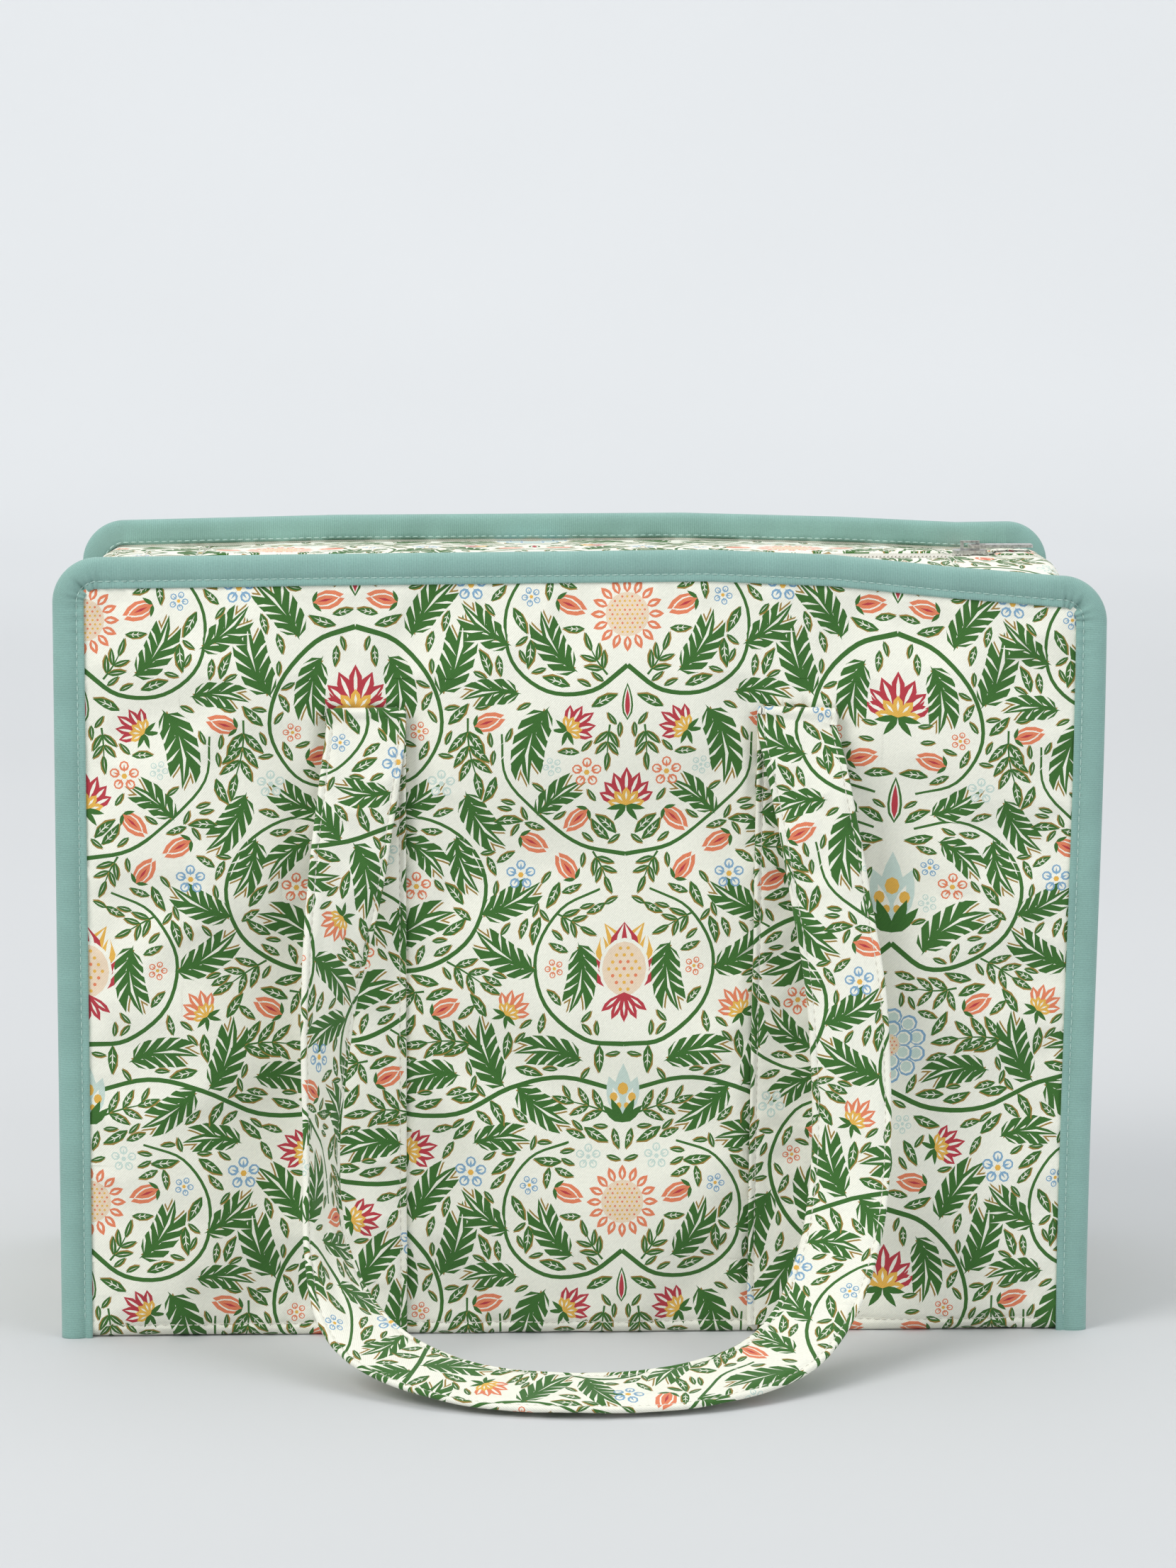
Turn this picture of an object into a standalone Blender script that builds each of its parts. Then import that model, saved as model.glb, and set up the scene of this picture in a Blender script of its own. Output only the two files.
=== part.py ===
"""Zip-top fabric sewing bag with two lift-out trays.

Metres, +Z up. The origin is the centre of the base on the surface the bag stands on, and -Y is
the front. Every object is one sub-part. A moving sub-part hangs on an empty that lies on its
joint's axis.
"""
from math import cos, pi, sin

import bmesh
import bpy
from mathutils import Matrix, Vector

# Driving dimensions
WIDTH = 0.420            # over the bound edges of the face panels
DEPTH = 0.200            # over the face panels
HEIGHT = 0.318           # base to the top of the binding
GAP = 0.0003             # between touching pieces
CORNER_RADIUS = 0.018    # top corners of the bound edge
FLANGE = 0.0105          # how far the bound edge stands proud of the gusset
BINDING_WIDTH = 0.0125
BINDING_PROUD = 0.001    # binding thickness on top of the face panel
PANEL_THICKNESS = 0.0035
GUSSET_THICKNESS = 0.0025
BASE_RADIUS = 0.006      # gusset's turn into the base
BOARD_THICKNESS = 0.0025
LINING_THICKNESS = 0.001

STRAP_WIDTH = 0.032
STRAP_THICKNESS = 0.0028
STRAP_X = 0.086          # centre of each handle leg
FOLD_Z = 0.2576          # where the handle leaves the face panel
KNEE_Y = -0.139          # where a hanging handle starts to turn towards the floor
KNEE_Z = 0.075
KNEE_CLEARANCE = 0.0025

FLAP_END_X = 0.155       # the opening flaps stop here, short of the corners
FLAP_EDGE_CLEARANCE = 0.003
ZIP_TAPE_WIDTH = 0.0125
ZIP_SLOT_LENGTH = 0.0195
ZIP_SLOT_HALF_WIDTH = 0.007
COIL_INNER = 0.0011
COIL_OUTER = 0.0033
COIL_HEIGHT = 0.0028
TAPE_THICKNESS = 0.001

TRAY_HALF_X = 0.188
TRAY_HALF_Y = 0.088
TRAY_WALL = 0.0022
TRAY_CORNER = 0.010
LOWER_TRAY_HEIGHT = 0.060
UPPER_TRAY_HEIGHT = 0.055

# Derived places
FACE_Y = DEPTH / 2
PANEL_BACK_Y = FACE_Y - PANEL_THICKNESS
GUSSET_HALF_Y = PANEL_BACK_Y - GAP
GUSSET_X = WIDTH / 2 - FLANGE
GUSSET_Z = HEIGHT - FLANGE
GUSSET_CORNER = CORNER_RADIUS - FLANGE
GUSSET_INNER_X = GUSSET_X - GUSSET_THICKNESS
GUSSET_INNER_Z = GUSSET_Z - GUSSET_THICKNESS
BOARD_Z = GUSSET_THICKNESS + GAP
BASE_LINING_Z = BOARD_Z + BOARD_THICKNESS + GAP
FLOOR_Z = BASE_LINING_Z + LINING_THICKNESS + GAP
LINING_OUTER_Y = GUSSET_HALF_Y - 0.0002
LINING_INNER_Y = LINING_OUTER_Y - LINING_THICKNESS
ZIP_Z = (GUSSET_Z + GUSSET_INNER_Z) / 2
FLAP_HINGE_Y = PANEL_BACK_Y - FLAP_EDGE_CLEARANCE
TAPE_OUTER_Y = COIL_OUTER + GAP + ZIP_TAPE_WIDTH
SLIDER_X = FLAP_END_X + 0.0105
STRAP_FACE_Y = FACE_Y + GAP
FOLD_Y = STRAP_FACE_Y + STRAP_THICKNESS + 0.0004
LOWER_TRAY_Z = FLOOR_Z + GAP
UPPER_TRAY_Z = LOWER_TRAY_Z + LOWER_TRAY_HEIGHT + GAP

PRINT = (0.80, 0.82, 0.70)
TEAL = (0.23, 0.48, 0.42)
LINING = (0.86, 0.85, 0.78)
ZIP_TAPE = (0.82, 0.83, 0.80)
COIL = (0.75, 0.77, 0.74)
METAL = (0.72, 0.72, 0.70)
BOARD = (0.62, 0.60, 0.55)
TRAY = (0.55, 0.72, 0.68)


def clear_scene():
    for obj in list(bpy.data.objects):
        bpy.data.objects.remove(obj, do_unlink=True)


def new_collection(name):
    collection = bpy.data.collections.new(name)
    bpy.context.scene.collection.children.link(collection)
    return collection


def material(name, colour, roughness, metallic=0.0):
    mat = bpy.data.materials.new(name)
    mat.use_nodes = True
    shader = mat.node_tree.nodes["Principled BSDF"]
    shader.inputs["Base Color"].default_value = (*colour, 1.0)
    shader.inputs["Roughness"].default_value = roughness
    shader.inputs["Metallic"].default_value = metallic
    return mat


def add_mesh(name, mesh, mat, collection):
    obj = bpy.data.objects.new(name, mesh)
    mesh.materials.append(mat)
    collection.objects.link(obj)
    return obj


def box_mesh(name, low, high, corner=0.0, segments=4):
    """A box between two corners, with its four upright edges rounded where a radius is given."""
    bm = bmesh.new()
    bmesh.ops.create_cube(bm, size=1.0)
    low, high = Vector(low), Vector(high)
    place = Matrix.Translation((low + high) / 2) @ Matrix.Diagonal((*(high - low), 1.0))
    bmesh.ops.transform(bm, matrix=place, verts=bm.verts)
    if corner:
        upright = [e for e in bm.edges if abs((e.verts[0].co - e.verts[1].co).normalized().z) > 0.9]
        bmesh.ops.bevel(bm, geom=upright, offset=corner, segments=segments, profile=0.5, affect="EDGES")
    mesh = bpy.data.meshes.new(name)
    bm.to_mesh(mesh)
    bm.free()
    return mesh


def box(name, low, high, colour, collection, roughness=0.8, metallic=0.0, corner=0.0):
    mat = material(name, colour, roughness, metallic)
    return add_mesh(name, box_mesh(name, low, high, corner), mat, collection)


def boolean(obj, cutter, operation):
    modifier = obj.modifiers.new(cutter.name, "BOOLEAN")
    modifier.operation = operation
    modifier.solver = "EXACT"
    modifier.object = cutter


def as_cutter(name, mesh, cutters):
    cutter = bpy.data.objects.new(name, mesh)
    cutters.objects.link(cutter)
    cutter.hide_render = True
    cutter.display_type = "WIRE"
    return cutter


def arc(centre_x, centre_z, radius, start, end, steps=5):
    """Points of an arc in the XZ plane; angles from +X towards +Z."""
    angles = [start + (end - start) * i / steps for i in range(steps + 1)]
    return [(centre_x + radius * cos(a), centre_z + radius * sin(a)) for a in angles]


def face_edge(inset, bottom=0.0):
    """The bound edge, drawn in by an inset: up the left side, over both corners and down the right."""
    half = WIDTH / 2 - inset
    top = HEIGHT - inset
    radius = CORNER_RADIUS - inset
    left = arc(-half + radius, top - radius, radius, pi, pi / 2)
    right = arc(half - radius, top - radius, radius, pi / 2, 0)
    return [(-half, bottom)] + left + right + [(half, bottom)]


def flat_piece(name, outline, low_y, high_y, colour, collection):
    """A flat outline in the XZ plane with a thickness along Y."""
    curve = bpy.data.curves.new(name, "CURVE")
    curve.dimensions = "2D"
    curve.fill_mode = "BOTH"
    curve.extrude = (high_y - low_y) / 2
    spline = curve.splines.new("POLY")
    spline.points.add(len(outline) - 1)
    for point, (x, z) in zip(spline.points, outline):
        point.co = (x, z, 0.0, 1.0)
    spline.use_cyclic_u = True
    obj = bpy.data.objects.new(name, curve)
    curve.materials.append(material(name, colour, 0.85))
    obj.rotation_euler = (pi / 2, 0, 0)
    obj.location = (0, (low_y + high_y) / 2, 0)
    collection.objects.link(obj)
    return obj


def swept_strip(name, path, half_y, thickness, colour, collection):
    """A strip of cloth that follows a path in the XZ plane, thickened towards the path's right."""
    bm = bmesh.new()
    row = [bm.verts.new((x, -half_y, z)) for x, z in path]
    edges = [bm.edges.new(pair) for pair in zip(row, row[1:])]
    swept = bmesh.ops.extrude_edge_only(bm, edges=edges)
    moved = [v for v in swept["geom"] if isinstance(v, bmesh.types.BMVert)]
    bmesh.ops.translate(bm, vec=(0, 2 * half_y, 0), verts=moved)
    mesh = bpy.data.meshes.new(name)
    bm.to_mesh(mesh)
    bm.free()
    obj = add_mesh(name, mesh, material(name, colour, 0.85), collection)
    solidify = obj.modifiers.new("thickness", "SOLIDIFY")
    solidify.thickness = thickness
    solidify.offset = -1
    solidify.use_even_offset = True
    return obj


def empty_at(name, place, collection, parent=None):
    empty = bpy.data.objects.new(name, None)
    empty.empty_display_size = 0.02
    collection.objects.link(empty)
    attach(empty, parent)
    empty.location = Vector(place) - (parent_place(parent))
    return empty


def parent_place(parent):
    place = Vector((0, 0, 0))
    while parent is not None:
        place += parent.location
        parent = parent.parent
    return place


def attach(obj, parent):
    """Parent an object to an empty and keep it where it is."""
    if parent is not None:
        obj.parent = parent
        obj.location = obj.location - parent_place(parent)


# Fixed shell

def build_faces(bag):
    """Front and back face panels, each with a bound edge on three sides and a lining behind."""
    for side, sign in (("front", -1), ("back", 1)):
        near, far = sorted((sign * PANEL_BACK_Y, sign * FACE_Y))
        panel_outline = face_edge(BINDING_WIDTH + GAP)
        flat_piece(f"{side}_panel", panel_outline, near, far, PRINT, bag)
        near, far = sorted((sign * PANEL_BACK_Y, sign * (FACE_Y + BINDING_PROUD)))
        bound = face_edge(0.0) + face_edge(BINDING_WIDTH)[::-1]
        flat_piece(f"{side}_binding", bound, near, far, TEAL, bag)
        low_y, high_y = sorted((sign * LINING_INNER_Y, sign * LINING_OUTER_Y))
        half = GUSSET_INNER_X - 0.002
        box(f"{side}_lining", (-half, low_y, FLOOR_Z), (half, high_y, GUSSET_INNER_Z - 0.0015), LINING, bag)


def gusset_path(sign):
    """From the base, up one side, over the top corner and along the top to the flaps' end."""
    path = [(GUSSET_X - BASE_RADIUS, 0.0)]
    path += arc(GUSSET_X - BASE_RADIUS, BASE_RADIUS, BASE_RADIUS, -pi / 2, 0)[1:]
    corner = GUSSET_CORNER
    path += arc(GUSSET_X - corner, GUSSET_Z - corner, corner, 0, pi / 2)
    path.append((FLAP_END_X + GAP, GUSSET_Z))
    path = [(sign * x, z) for x, z in path]
    return path if sign > 0 else path[::-1]


def build_gussets(bag, cutters):
    """The side gussets run over the top corners and end in a slot where the zip slider parks."""
    for side, sign in (("left", -1), ("right", 1)):
        gusset = swept_strip(f"{side}_gusset", gusset_path(sign), GUSSET_HALF_Y, GUSSET_THICKNESS, PRINT, bag)
        inner, outer = sorted((sign * (FLAP_END_X - 0.002), sign * (FLAP_END_X + ZIP_SLOT_LENGTH)))
        slot = box_mesh(f"{side}_slot", (inner, -ZIP_SLOT_HALF_WIDTH, GUSSET_INNER_Z - 0.002),
                        (outer, ZIP_SLOT_HALF_WIDTH, GUSSET_Z + 0.002))
        boolean(gusset, as_cutter(f"{side}_slot", slot, cutters), "DIFFERENCE")
        near, far = sorted((sign * (GUSSET_INNER_X - GAP), sign * (GUSSET_INNER_X - GAP - LINING_THICKNESS)))
        half = LINING_INNER_Y - GAP
        top = GUSSET_Z - GUSSET_CORNER
        box(f"{side}_lining", (near, -half, FLOOR_Z), (far, half, top), LINING, bag)
        near, far = sorted((sign * (FLAP_END_X + ZIP_SLOT_LENGTH + 0.001), sign * (GUSSET_X - GUSSET_CORNER)))
        box(f"{side}_zip_tab", (near, -0.013, GUSSET_Z + GAP), (far, 0.013, GUSSET_Z + 0.0013), TEAL, bag)


def build_base(bag):
    """Fabric base, a stiff board on it and the lining over the board."""
    half_x = GUSSET_X - BASE_RADIUS - 0.001
    box("base_panel", (-half_x, -GUSSET_HALF_Y, 0), (half_x, GUSSET_HALF_Y, GUSSET_THICKNESS), PRINT, bag)
    half_y = GUSSET_HALF_Y - 0.001
    top = BOARD_Z + BOARD_THICKNESS
    box("base_board", (-half_x, -half_y, BOARD_Z), (half_x, half_y, top), BOARD, bag, roughness=0.6)
    half_y = LINING_INNER_Y - GAP
    top = BASE_LINING_Z + LINING_THICKNESS
    box("base_lining", (-half_x, -half_y, BASE_LINING_Z), (half_x, half_y, top), LINING, bag)


def build_sewn_straps(bag):
    """The handles' lower legs, sewn flat to the face panels from the base up to the fold."""
    for side, sign in (("front", -1), ("back", 1)):
        for name, x in (("left", -STRAP_X), ("right", STRAP_X)):
            near, far = sorted((sign * STRAP_FACE_Y, sign * (STRAP_FACE_Y + STRAP_THICKNESS)))
            low = (x - STRAP_WIDTH / 2, near, 0.003)
            high = (x + STRAP_WIDTH / 2, far, FOLD_Z - 0.0006)
            box(f"{side}_{name}_strap", low, high, PRINT, bag)


# Opening top

def build_flap(bag, side, sign):
    """One half of the zipped top: cloth strip, lining, zip tape and a row of coil."""
    hinge = empty_at(f"{side}_flap_hinge", (0, sign * FLAP_HINGE_Y, ZIP_Z), bag)
    layers = (
        (f"{side}_top_strip", FLAP_HINGE_Y - GAP, TAPE_OUTER_Y + GAP, GUSSET_INNER_Z, GUSSET_Z, PRINT),
        (f"{side}_flap_lining", FLAP_HINGE_Y - 0.004, TAPE_OUTER_Y + 0.002,
         GUSSET_INNER_Z - GAP - LINING_THICKNESS, GUSSET_INNER_Z - GAP, LINING),
        (f"{side}_zip_tape", TAPE_OUTER_Y, COIL_OUTER + GAP,
         ZIP_Z - TAPE_THICKNESS / 2, ZIP_Z + TAPE_THICKNESS / 2, ZIP_TAPE),
        (f"{side}_zip_coil", COIL_OUTER, COIL_INNER, ZIP_Z - COIL_HEIGHT / 2, ZIP_Z + COIL_HEIGHT / 2, COIL),
    )
    for name, outer, inner, low_z, high_z, colour in layers:
        near, far = sorted((sign * inner, sign * outer))
        piece = box(name, (-FLAP_END_X, near, low_z), (FLAP_END_X, far, high_z), colour, bag)
        attach(piece, hinge)


def build_zip_slider(bag, cutters):
    """Slider with plates above and below the coil and a bail; the pull tab swings on the bail."""
    track = empty_at("zip_track", (SLIDER_X, 0, ZIP_Z), bag)
    plate = 0.0014
    clearance = 0.0004
    half_length = 0.007
    half_width = 0.0046
    plate_low = ZIP_Z + COIL_HEIGHT / 2 + clearance
    plate_top = plate_low + plate
    bail_top = plate_top + 0.0038
    top_mesh = box_mesh("zip_slider", (SLIDER_X - half_length, -half_width, plate_low),
                        (SLIDER_X + half_length, half_width, plate_top), 0.002, 3)
    slider = add_mesh("zip_slider", top_mesh, material("zip_slider", METAL, 0.3, 1.0), bag)
    under_low = ZIP_Z - COIL_HEIGHT / 2 - clearance - plate
    under = box_mesh("slider_under", (SLIDER_X - half_length, -half_width, under_low),
                     (SLIDER_X + half_length, half_width, under_low + plate), 0.002, 3)
    bridge = box_mesh("slider_bridge", (SLIDER_X + 0.001, -0.0008, under_low + plate / 2),
                      (SLIDER_X + 0.0055, 0.0008, plate_top - plate / 2))
    bail = box_mesh("slider_bail", (SLIDER_X - 0.004, -0.0009, plate_top - plate / 2),
                    (SLIDER_X + 0.004, 0.0009, bail_top))
    for name, mesh in (("slider_under", under), ("slider_bridge", bridge), ("slider_bail", bail)):
        boolean(slider, as_cutter(name, mesh, cutters), "UNION")
    hole = box_mesh("bail_hole", (SLIDER_X - 0.0026, -0.003, plate_top + 0.0005),
                    (SLIDER_X + 0.0026, 0.003, bail_top - 0.0009))
    boolean(slider, as_cutter("bail_hole", hole, cutters), "DIFFERENCE")
    attach(slider, track)

    pivot_z = (plate_top + 0.0005 + bail_top - 0.0009) / 2
    pivot = empty_at("zip_pull_pivot", (SLIDER_X, 0, pivot_z), bag, track)
    half_thickness = 0.0006
    pull_mesh = box_mesh("zip_pull", (SLIDER_X - 0.0006, -0.0042, pivot_z - half_thickness),
                         (SLIDER_X + 0.026, 0.0042, pivot_z + half_thickness), 0.0005, 2)
    pull = add_mesh("zip_pull", pull_mesh, material("zip_pull", METAL, 0.3, 1.0), bag)
    window = box_mesh("pull_window", (SLIDER_X + 0.0006, -0.0022, pivot_z - 0.003),
                      (SLIDER_X + 0.0065, 0.0022, pivot_z + 0.003))
    boolean(pull, as_cutter("pull_window", window, cutters), "DIFFERENCE")
    attach(pull, pivot)


# Handles

# Centre of the hanging strap and the direction across it, from the left fold to the right fold.
LEFT_LEG = (
    ((-STRAP_X, -0.1051, FOLD_Z - 0.0006), (1, 0, 0)),
    ((-STRAP_X, -0.1066, FOLD_Z - 0.0100), (1, 0, 0)),
    ((-0.0885, -0.1120, 0.228), (1, 0, 0)),
    ((-0.0945, -0.1190, 0.185), (1, 0, 0)),
    ((-0.1010, -0.1270, 0.135), (1, 0.10, 0)),
    ((-0.1030, KNEE_Y, KNEE_Z), (1, 0.15, 0)),
)
LOOP = (
    ((-0.1030, KNEE_Y, KNEE_Z), (1, 0.15, 0)),
    ((-0.0985, -0.1550, 0.040), (0.93, 0.35, 0.10)),
    ((-0.0840, -0.1820, 0.017), (0.72, 0.68, 0.20)),
    ((-0.0480, -0.2120, 0.0078), (0.35, 0.90, 0.22)),
    ((-0.0030, -0.2240, 0.0068), (0.00, 0.98, 0.20)),
    ((0.0420, -0.2170, 0.0078), (-0.35, 0.90, 0.24)),
    ((0.0780, -0.1930, 0.014), (-0.70, 0.68, 0.26)),
    ((0.0990, -0.1620, 0.036), (-0.93, 0.30, 0.14)),
    ((0.1085, KNEE_Y, KNEE_Z), (-1, 0, 0)),
)
RIGHT_LEG = (
    ((0.1085, KNEE_Y, KNEE_Z), (-1, 0, 0)),
    ((0.1070, -0.1270, 0.135), (-1, 0, 0)),
    ((0.0990, -0.1190, 0.185), (-1, 0, 0)),
    ((0.0905, -0.1120, 0.228), (-1, 0, 0)),
    ((STRAP_X, -0.1066, FOLD_Z - 0.0100), (-1, 0, 0)),
    ((STRAP_X, -0.1051, FOLD_Z - 0.0006), (-1, 0, 0)),
)


def spline_points(points, steps):
    """A smooth curve through the points, with a given number of steps in each span."""
    points = [Vector(p) for p in points]
    padded = [2 * points[0] - points[1]] + points + [2 * points[-1] - points[-2]]
    curve = []
    for before, start, end, after in zip(padded, padded[1:], padded[2:], padded[3:]):
        for i in range(steps):
            t = i / steps
            curve.append(0.5 * (2 * start + (end - before) * t
                                + (2 * before - 5 * start + 4 * end - after) * t * t
                                + (3 * start - before - 3 * end + after) * t ** 3))
    return curve + [points[-1]]


def strap(name, stations, trim_start, trim_end, bag, steps=4):
    """A flat strap through its stations, with clearance cut from its ends."""
    centre = spline_points([s[0] for s in stations], steps)
    across = spline_points([s[1] for s in stations], steps)
    centre[0] += (centre[1] - centre[0]).normalized() * trim_start
    centre[-1] += (centre[-2] - centre[-1]).normalized() * trim_end
    bm = bmesh.new()
    bmesh.ops.create_grid(bm, x_segments=1, y_segments=len(centre) - 1, size=0.5)
    last = len(centre) - 1
    for vert in bm.verts:
        index = round((vert.co.y + 0.5) * last)
        side = -1 if vert.co.x < 0 else 1
        tangent = (centre[min(index + 1, last)] - centre[max(index - 1, 0)]).normalized()
        over = (across[index] - tangent * across[index].dot(tangent)).normalized()
        vert.co = centre[index] + over * side * STRAP_WIDTH / 2
    mesh = bpy.data.meshes.new(name)
    bm.to_mesh(mesh)
    bm.free()
    obj = add_mesh(name, mesh, material(name, PRINT, 0.85), bag)
    solidify = obj.modifiers.new("thickness", "SOLIDIFY")
    solidify.thickness = STRAP_THICKNESS
    solidify.offset = 0
    return obj


def build_handle(bag, side, turned):
    """A handle hanging over one face: two legs from the fold, and the loop below the knee."""
    flip = -1 if turned else 1
    fold = empty_at(f"{side}_handle_fold", (0, -flip * FOLD_Y, FOLD_Z), bag)
    knee = empty_at(f"{side}_handle_knee", (0, flip * KNEE_Y, KNEE_Z), bag, fold)
    legs = (strap(f"{side}_left_drop", LEFT_LEG, 0, KNEE_CLEARANCE, bag),
            strap(f"{side}_right_drop", RIGHT_LEG, KNEE_CLEARANCE, 0, bag))
    loop = strap(f"{side}_grip", LOOP, KNEE_CLEARANCE, KNEE_CLEARANCE, bag)
    for piece, parent in ((legs[0], fold), (legs[1], fold), (loop, knee)):
        if turned:
            piece.rotation_euler = (0, 0, pi)
        attach(piece, parent)


# Trays

def pockets(columns, low_z, top_z):
    """Pocket boxes of a tray. Each column is its share of the length and how many rows it has."""
    x = -TRAY_HALF_X + TRAY_WALL
    length = 2 * TRAY_HALF_X - TRAY_WALL * (len(columns) + 1)
    boxes = []
    for share, rows in columns:
        width = length * share
        depth = (2 * TRAY_HALF_Y - TRAY_WALL * (rows + 1)) / rows
        for row in range(rows):
            y = -TRAY_HALF_Y + TRAY_WALL + row * (depth + TRAY_WALL)
            boxes.append(((x, y, low_z), (x + width, y + depth, top_z)))
        x += width + TRAY_WALL
    return boxes


def build_tray(bag, cutters, name, base_z, height, columns, parent):
    """An open tray: a rounded block with one pocket cut out for each compartment."""
    top = base_z + height
    lift = empty_at(f"{name}_lift", (0, 0, base_z), bag, parent)
    tray = box(name, (-TRAY_HALF_X, -TRAY_HALF_Y, base_z), (TRAY_HALF_X, TRAY_HALF_Y, top),
               TRAY, bag, roughness=0.45, corner=TRAY_CORNER)
    for index, (low, high) in enumerate(pockets(columns, base_z + TRAY_WALL, top + 0.01)):
        pocket = box_mesh(f"{name}_pocket_{index}", low, high, TRAY_CORNER - TRAY_WALL)
        boolean(tray, as_cutter(f"{name}_pocket_{index}", pocket, cutters), "DIFFERENCE")
    attach(tray, lift)
    return lift


def main():
    clear_scene()
    bag = new_collection("sewing_bag")
    cutters = new_collection("cutters")
    build_faces(bag)
    build_gussets(bag, cutters)
    build_base(bag)
    build_sewn_straps(bag)
    build_flap(bag, "front", -1)
    build_flap(bag, "back", 1)
    build_zip_slider(bag, cutters)
    build_handle(bag, "front", False)
    build_handle(bag, "back", True)
    lower = build_tray(bag, cutters, "lower_tray", LOWER_TRAY_Z, LOWER_TRAY_HEIGHT,
                       ((2 / 3, 1), (1 / 3, 2)), None)
    build_tray(bag, cutters, "upper_tray", UPPER_TRAY_Z, UPPER_TRAY_HEIGHT,
               ((1 / 3, 2), (1 / 3, 2), (1 / 3, 2)), lower)


main()
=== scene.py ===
"""Looks of the zip-top sewing bag: printed twill, bound edges, stitched strap handles, zip, lining
and trays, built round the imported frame. Metres, -Y is the front."""

import math
import random

import bmesh
import bpy
import numpy as np
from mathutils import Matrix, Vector
from mathutils.bvhtree import BVHTree
from mathutils.geometry import delaunay_2d_cdt


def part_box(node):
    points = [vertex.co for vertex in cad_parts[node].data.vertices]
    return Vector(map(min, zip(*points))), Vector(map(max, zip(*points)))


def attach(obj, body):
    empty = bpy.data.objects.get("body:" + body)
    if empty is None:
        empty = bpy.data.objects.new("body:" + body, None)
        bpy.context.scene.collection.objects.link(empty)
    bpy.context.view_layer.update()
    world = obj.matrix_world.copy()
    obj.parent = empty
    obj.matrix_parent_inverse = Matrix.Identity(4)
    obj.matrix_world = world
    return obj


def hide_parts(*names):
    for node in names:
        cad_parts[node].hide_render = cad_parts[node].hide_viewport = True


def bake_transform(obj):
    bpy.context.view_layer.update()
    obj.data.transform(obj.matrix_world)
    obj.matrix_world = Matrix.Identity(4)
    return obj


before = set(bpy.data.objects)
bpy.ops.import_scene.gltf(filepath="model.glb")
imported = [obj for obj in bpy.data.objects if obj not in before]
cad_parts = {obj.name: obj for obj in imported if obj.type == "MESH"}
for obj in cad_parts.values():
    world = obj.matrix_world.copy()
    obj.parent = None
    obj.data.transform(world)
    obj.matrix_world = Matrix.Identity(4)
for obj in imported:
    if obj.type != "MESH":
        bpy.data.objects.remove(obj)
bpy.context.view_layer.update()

# ---------------------------------------------------------------- sizes, from the frame


def span(node, axis):
    low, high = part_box(node)
    return low[axis], high[axis]


WIDTH = 2 * span("front_binding", 0)[1]
HEIGHT = span("front_binding", 2)[1]
FACE_Y = -span("front_panel", 1)[0]              # outer face of the cloth panel
CORNER = 0.018                                   # radius of the bound top corners
GUSSET_X = span("right_gusset", 0)[1]
GUSSET_Z = span("right_gusset", 2)[1]
GUSSET_HALF_Y = span("right_gusset", 1)[1]
FLAP_END = span("front_top_strip", 0)[1]
FLAP_INNER_Y = -span("front_top_strip", 1)[1]    # where the cloth meets the zip tape
COIL_Z = sum(span("front_zip_coil", 2)) / 2
COIL_OUTER = -span("front_zip_coil", 1)[0]
STRAP_WIDTH = span("front_left_strap", 0)[1] - span("front_left_strap", 0)[0]
STRAP_X = sum(span("front_right_strap", 0)) / 2
STRAP_BASE_Z = span("front_left_strap", 2)[0]
STRAP_Y = -sum(span("front_left_strap", 1)) / 2
FOLD_Z = span("front_left_strap", 2)[1]

MM = 0.001
STITCH = 0.0026                                  # length of a stitch
STITCH_PITCH = 0.0033                            # from one stitch to the next
PANEL_THICK = 0.0028                             # the padded face panels
WALL_THICK = 0.0022                              # side walls, base and top
LINING_THICK = 0.0008

# ---------------------------------------------------------------- camera


def add_camera():
    data = bpy.data.cameras.new("camera")
    data.sensor_fit = "VERTICAL"
    data.sensor_height = 36.0
    data.lens = 118.0
    camera = bpy.data.objects.new("camera", data)
    camera.location = (-0.070, -2.134, 0.4855)
    camera.rotation_euler = (math.pi / 2 - 0.1276, 0.0, -0.0356)
    bpy.context.scene.collection.objects.link(camera)
    bpy.context.scene.camera = camera


add_camera()

# ---------------------------------------------------------------- the print, drawn in millimetres

MIRROR = 108.0           # the print mirrors itself every so often across
REPEAT = 237.0           # and repeats up the cloth
PALETTE = {
    "cream": (0.930, 0.925, 0.810),
    "green": (0.045, 0.155, 0.026),
    "olive": (0.340, 0.215, 0.045),
    "coral": (0.800, 0.235, 0.115),
    "crimson": (0.500, 0.045, 0.062),
    "yellow": (0.820, 0.470, 0.085),
    "blue": (0.240, 0.420, 0.600),
    "aqua": (0.610, 0.740, 0.670),
    "blush": (0.870, 0.700, 0.520),
}
INKS = list(PALETTE)
CELL = 12.0              # side of the squares that the tile's taken ground is filed by


def turned(points, angle, x=0.0, y=0.0):
    c, s = math.cos(angle), math.sin(angle)
    return [(x + px * c - py * s, y + px * s + py * c) for px, py in points]


def bent(points, bend):
    """Points that run along +X, bent so that y = 0 becomes an arc of that many radians per mm."""
    if abs(bend) < 1e-6:
        return points
    out = []
    for x, y in points:
        a = x * bend
        out.append((math.sin(a) / bend - y * math.sin(a), (1 - math.cos(a)) / bend + y * math.cos(a)))
    return out


def blade(length, width, fullness=0.45, steps=4, start=0.0):
    """A pointed leaf outline along +X; fullness is where along it the leaf is widest."""
    power = math.log(0.5) / math.log(fullness)
    ts = [i / steps for i in range(1, steps)]
    half = [width / 2 * math.sin(math.pi * t ** power) ** 0.85 for t in ts]
    upper = [(start + length * t, h) for t, h in zip(ts, half)]
    lower = [(x, -h) for x, h in reversed(upper)]
    return [(start, 0.0)] + upper + [(start + length, 0.0)] + lower


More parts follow.
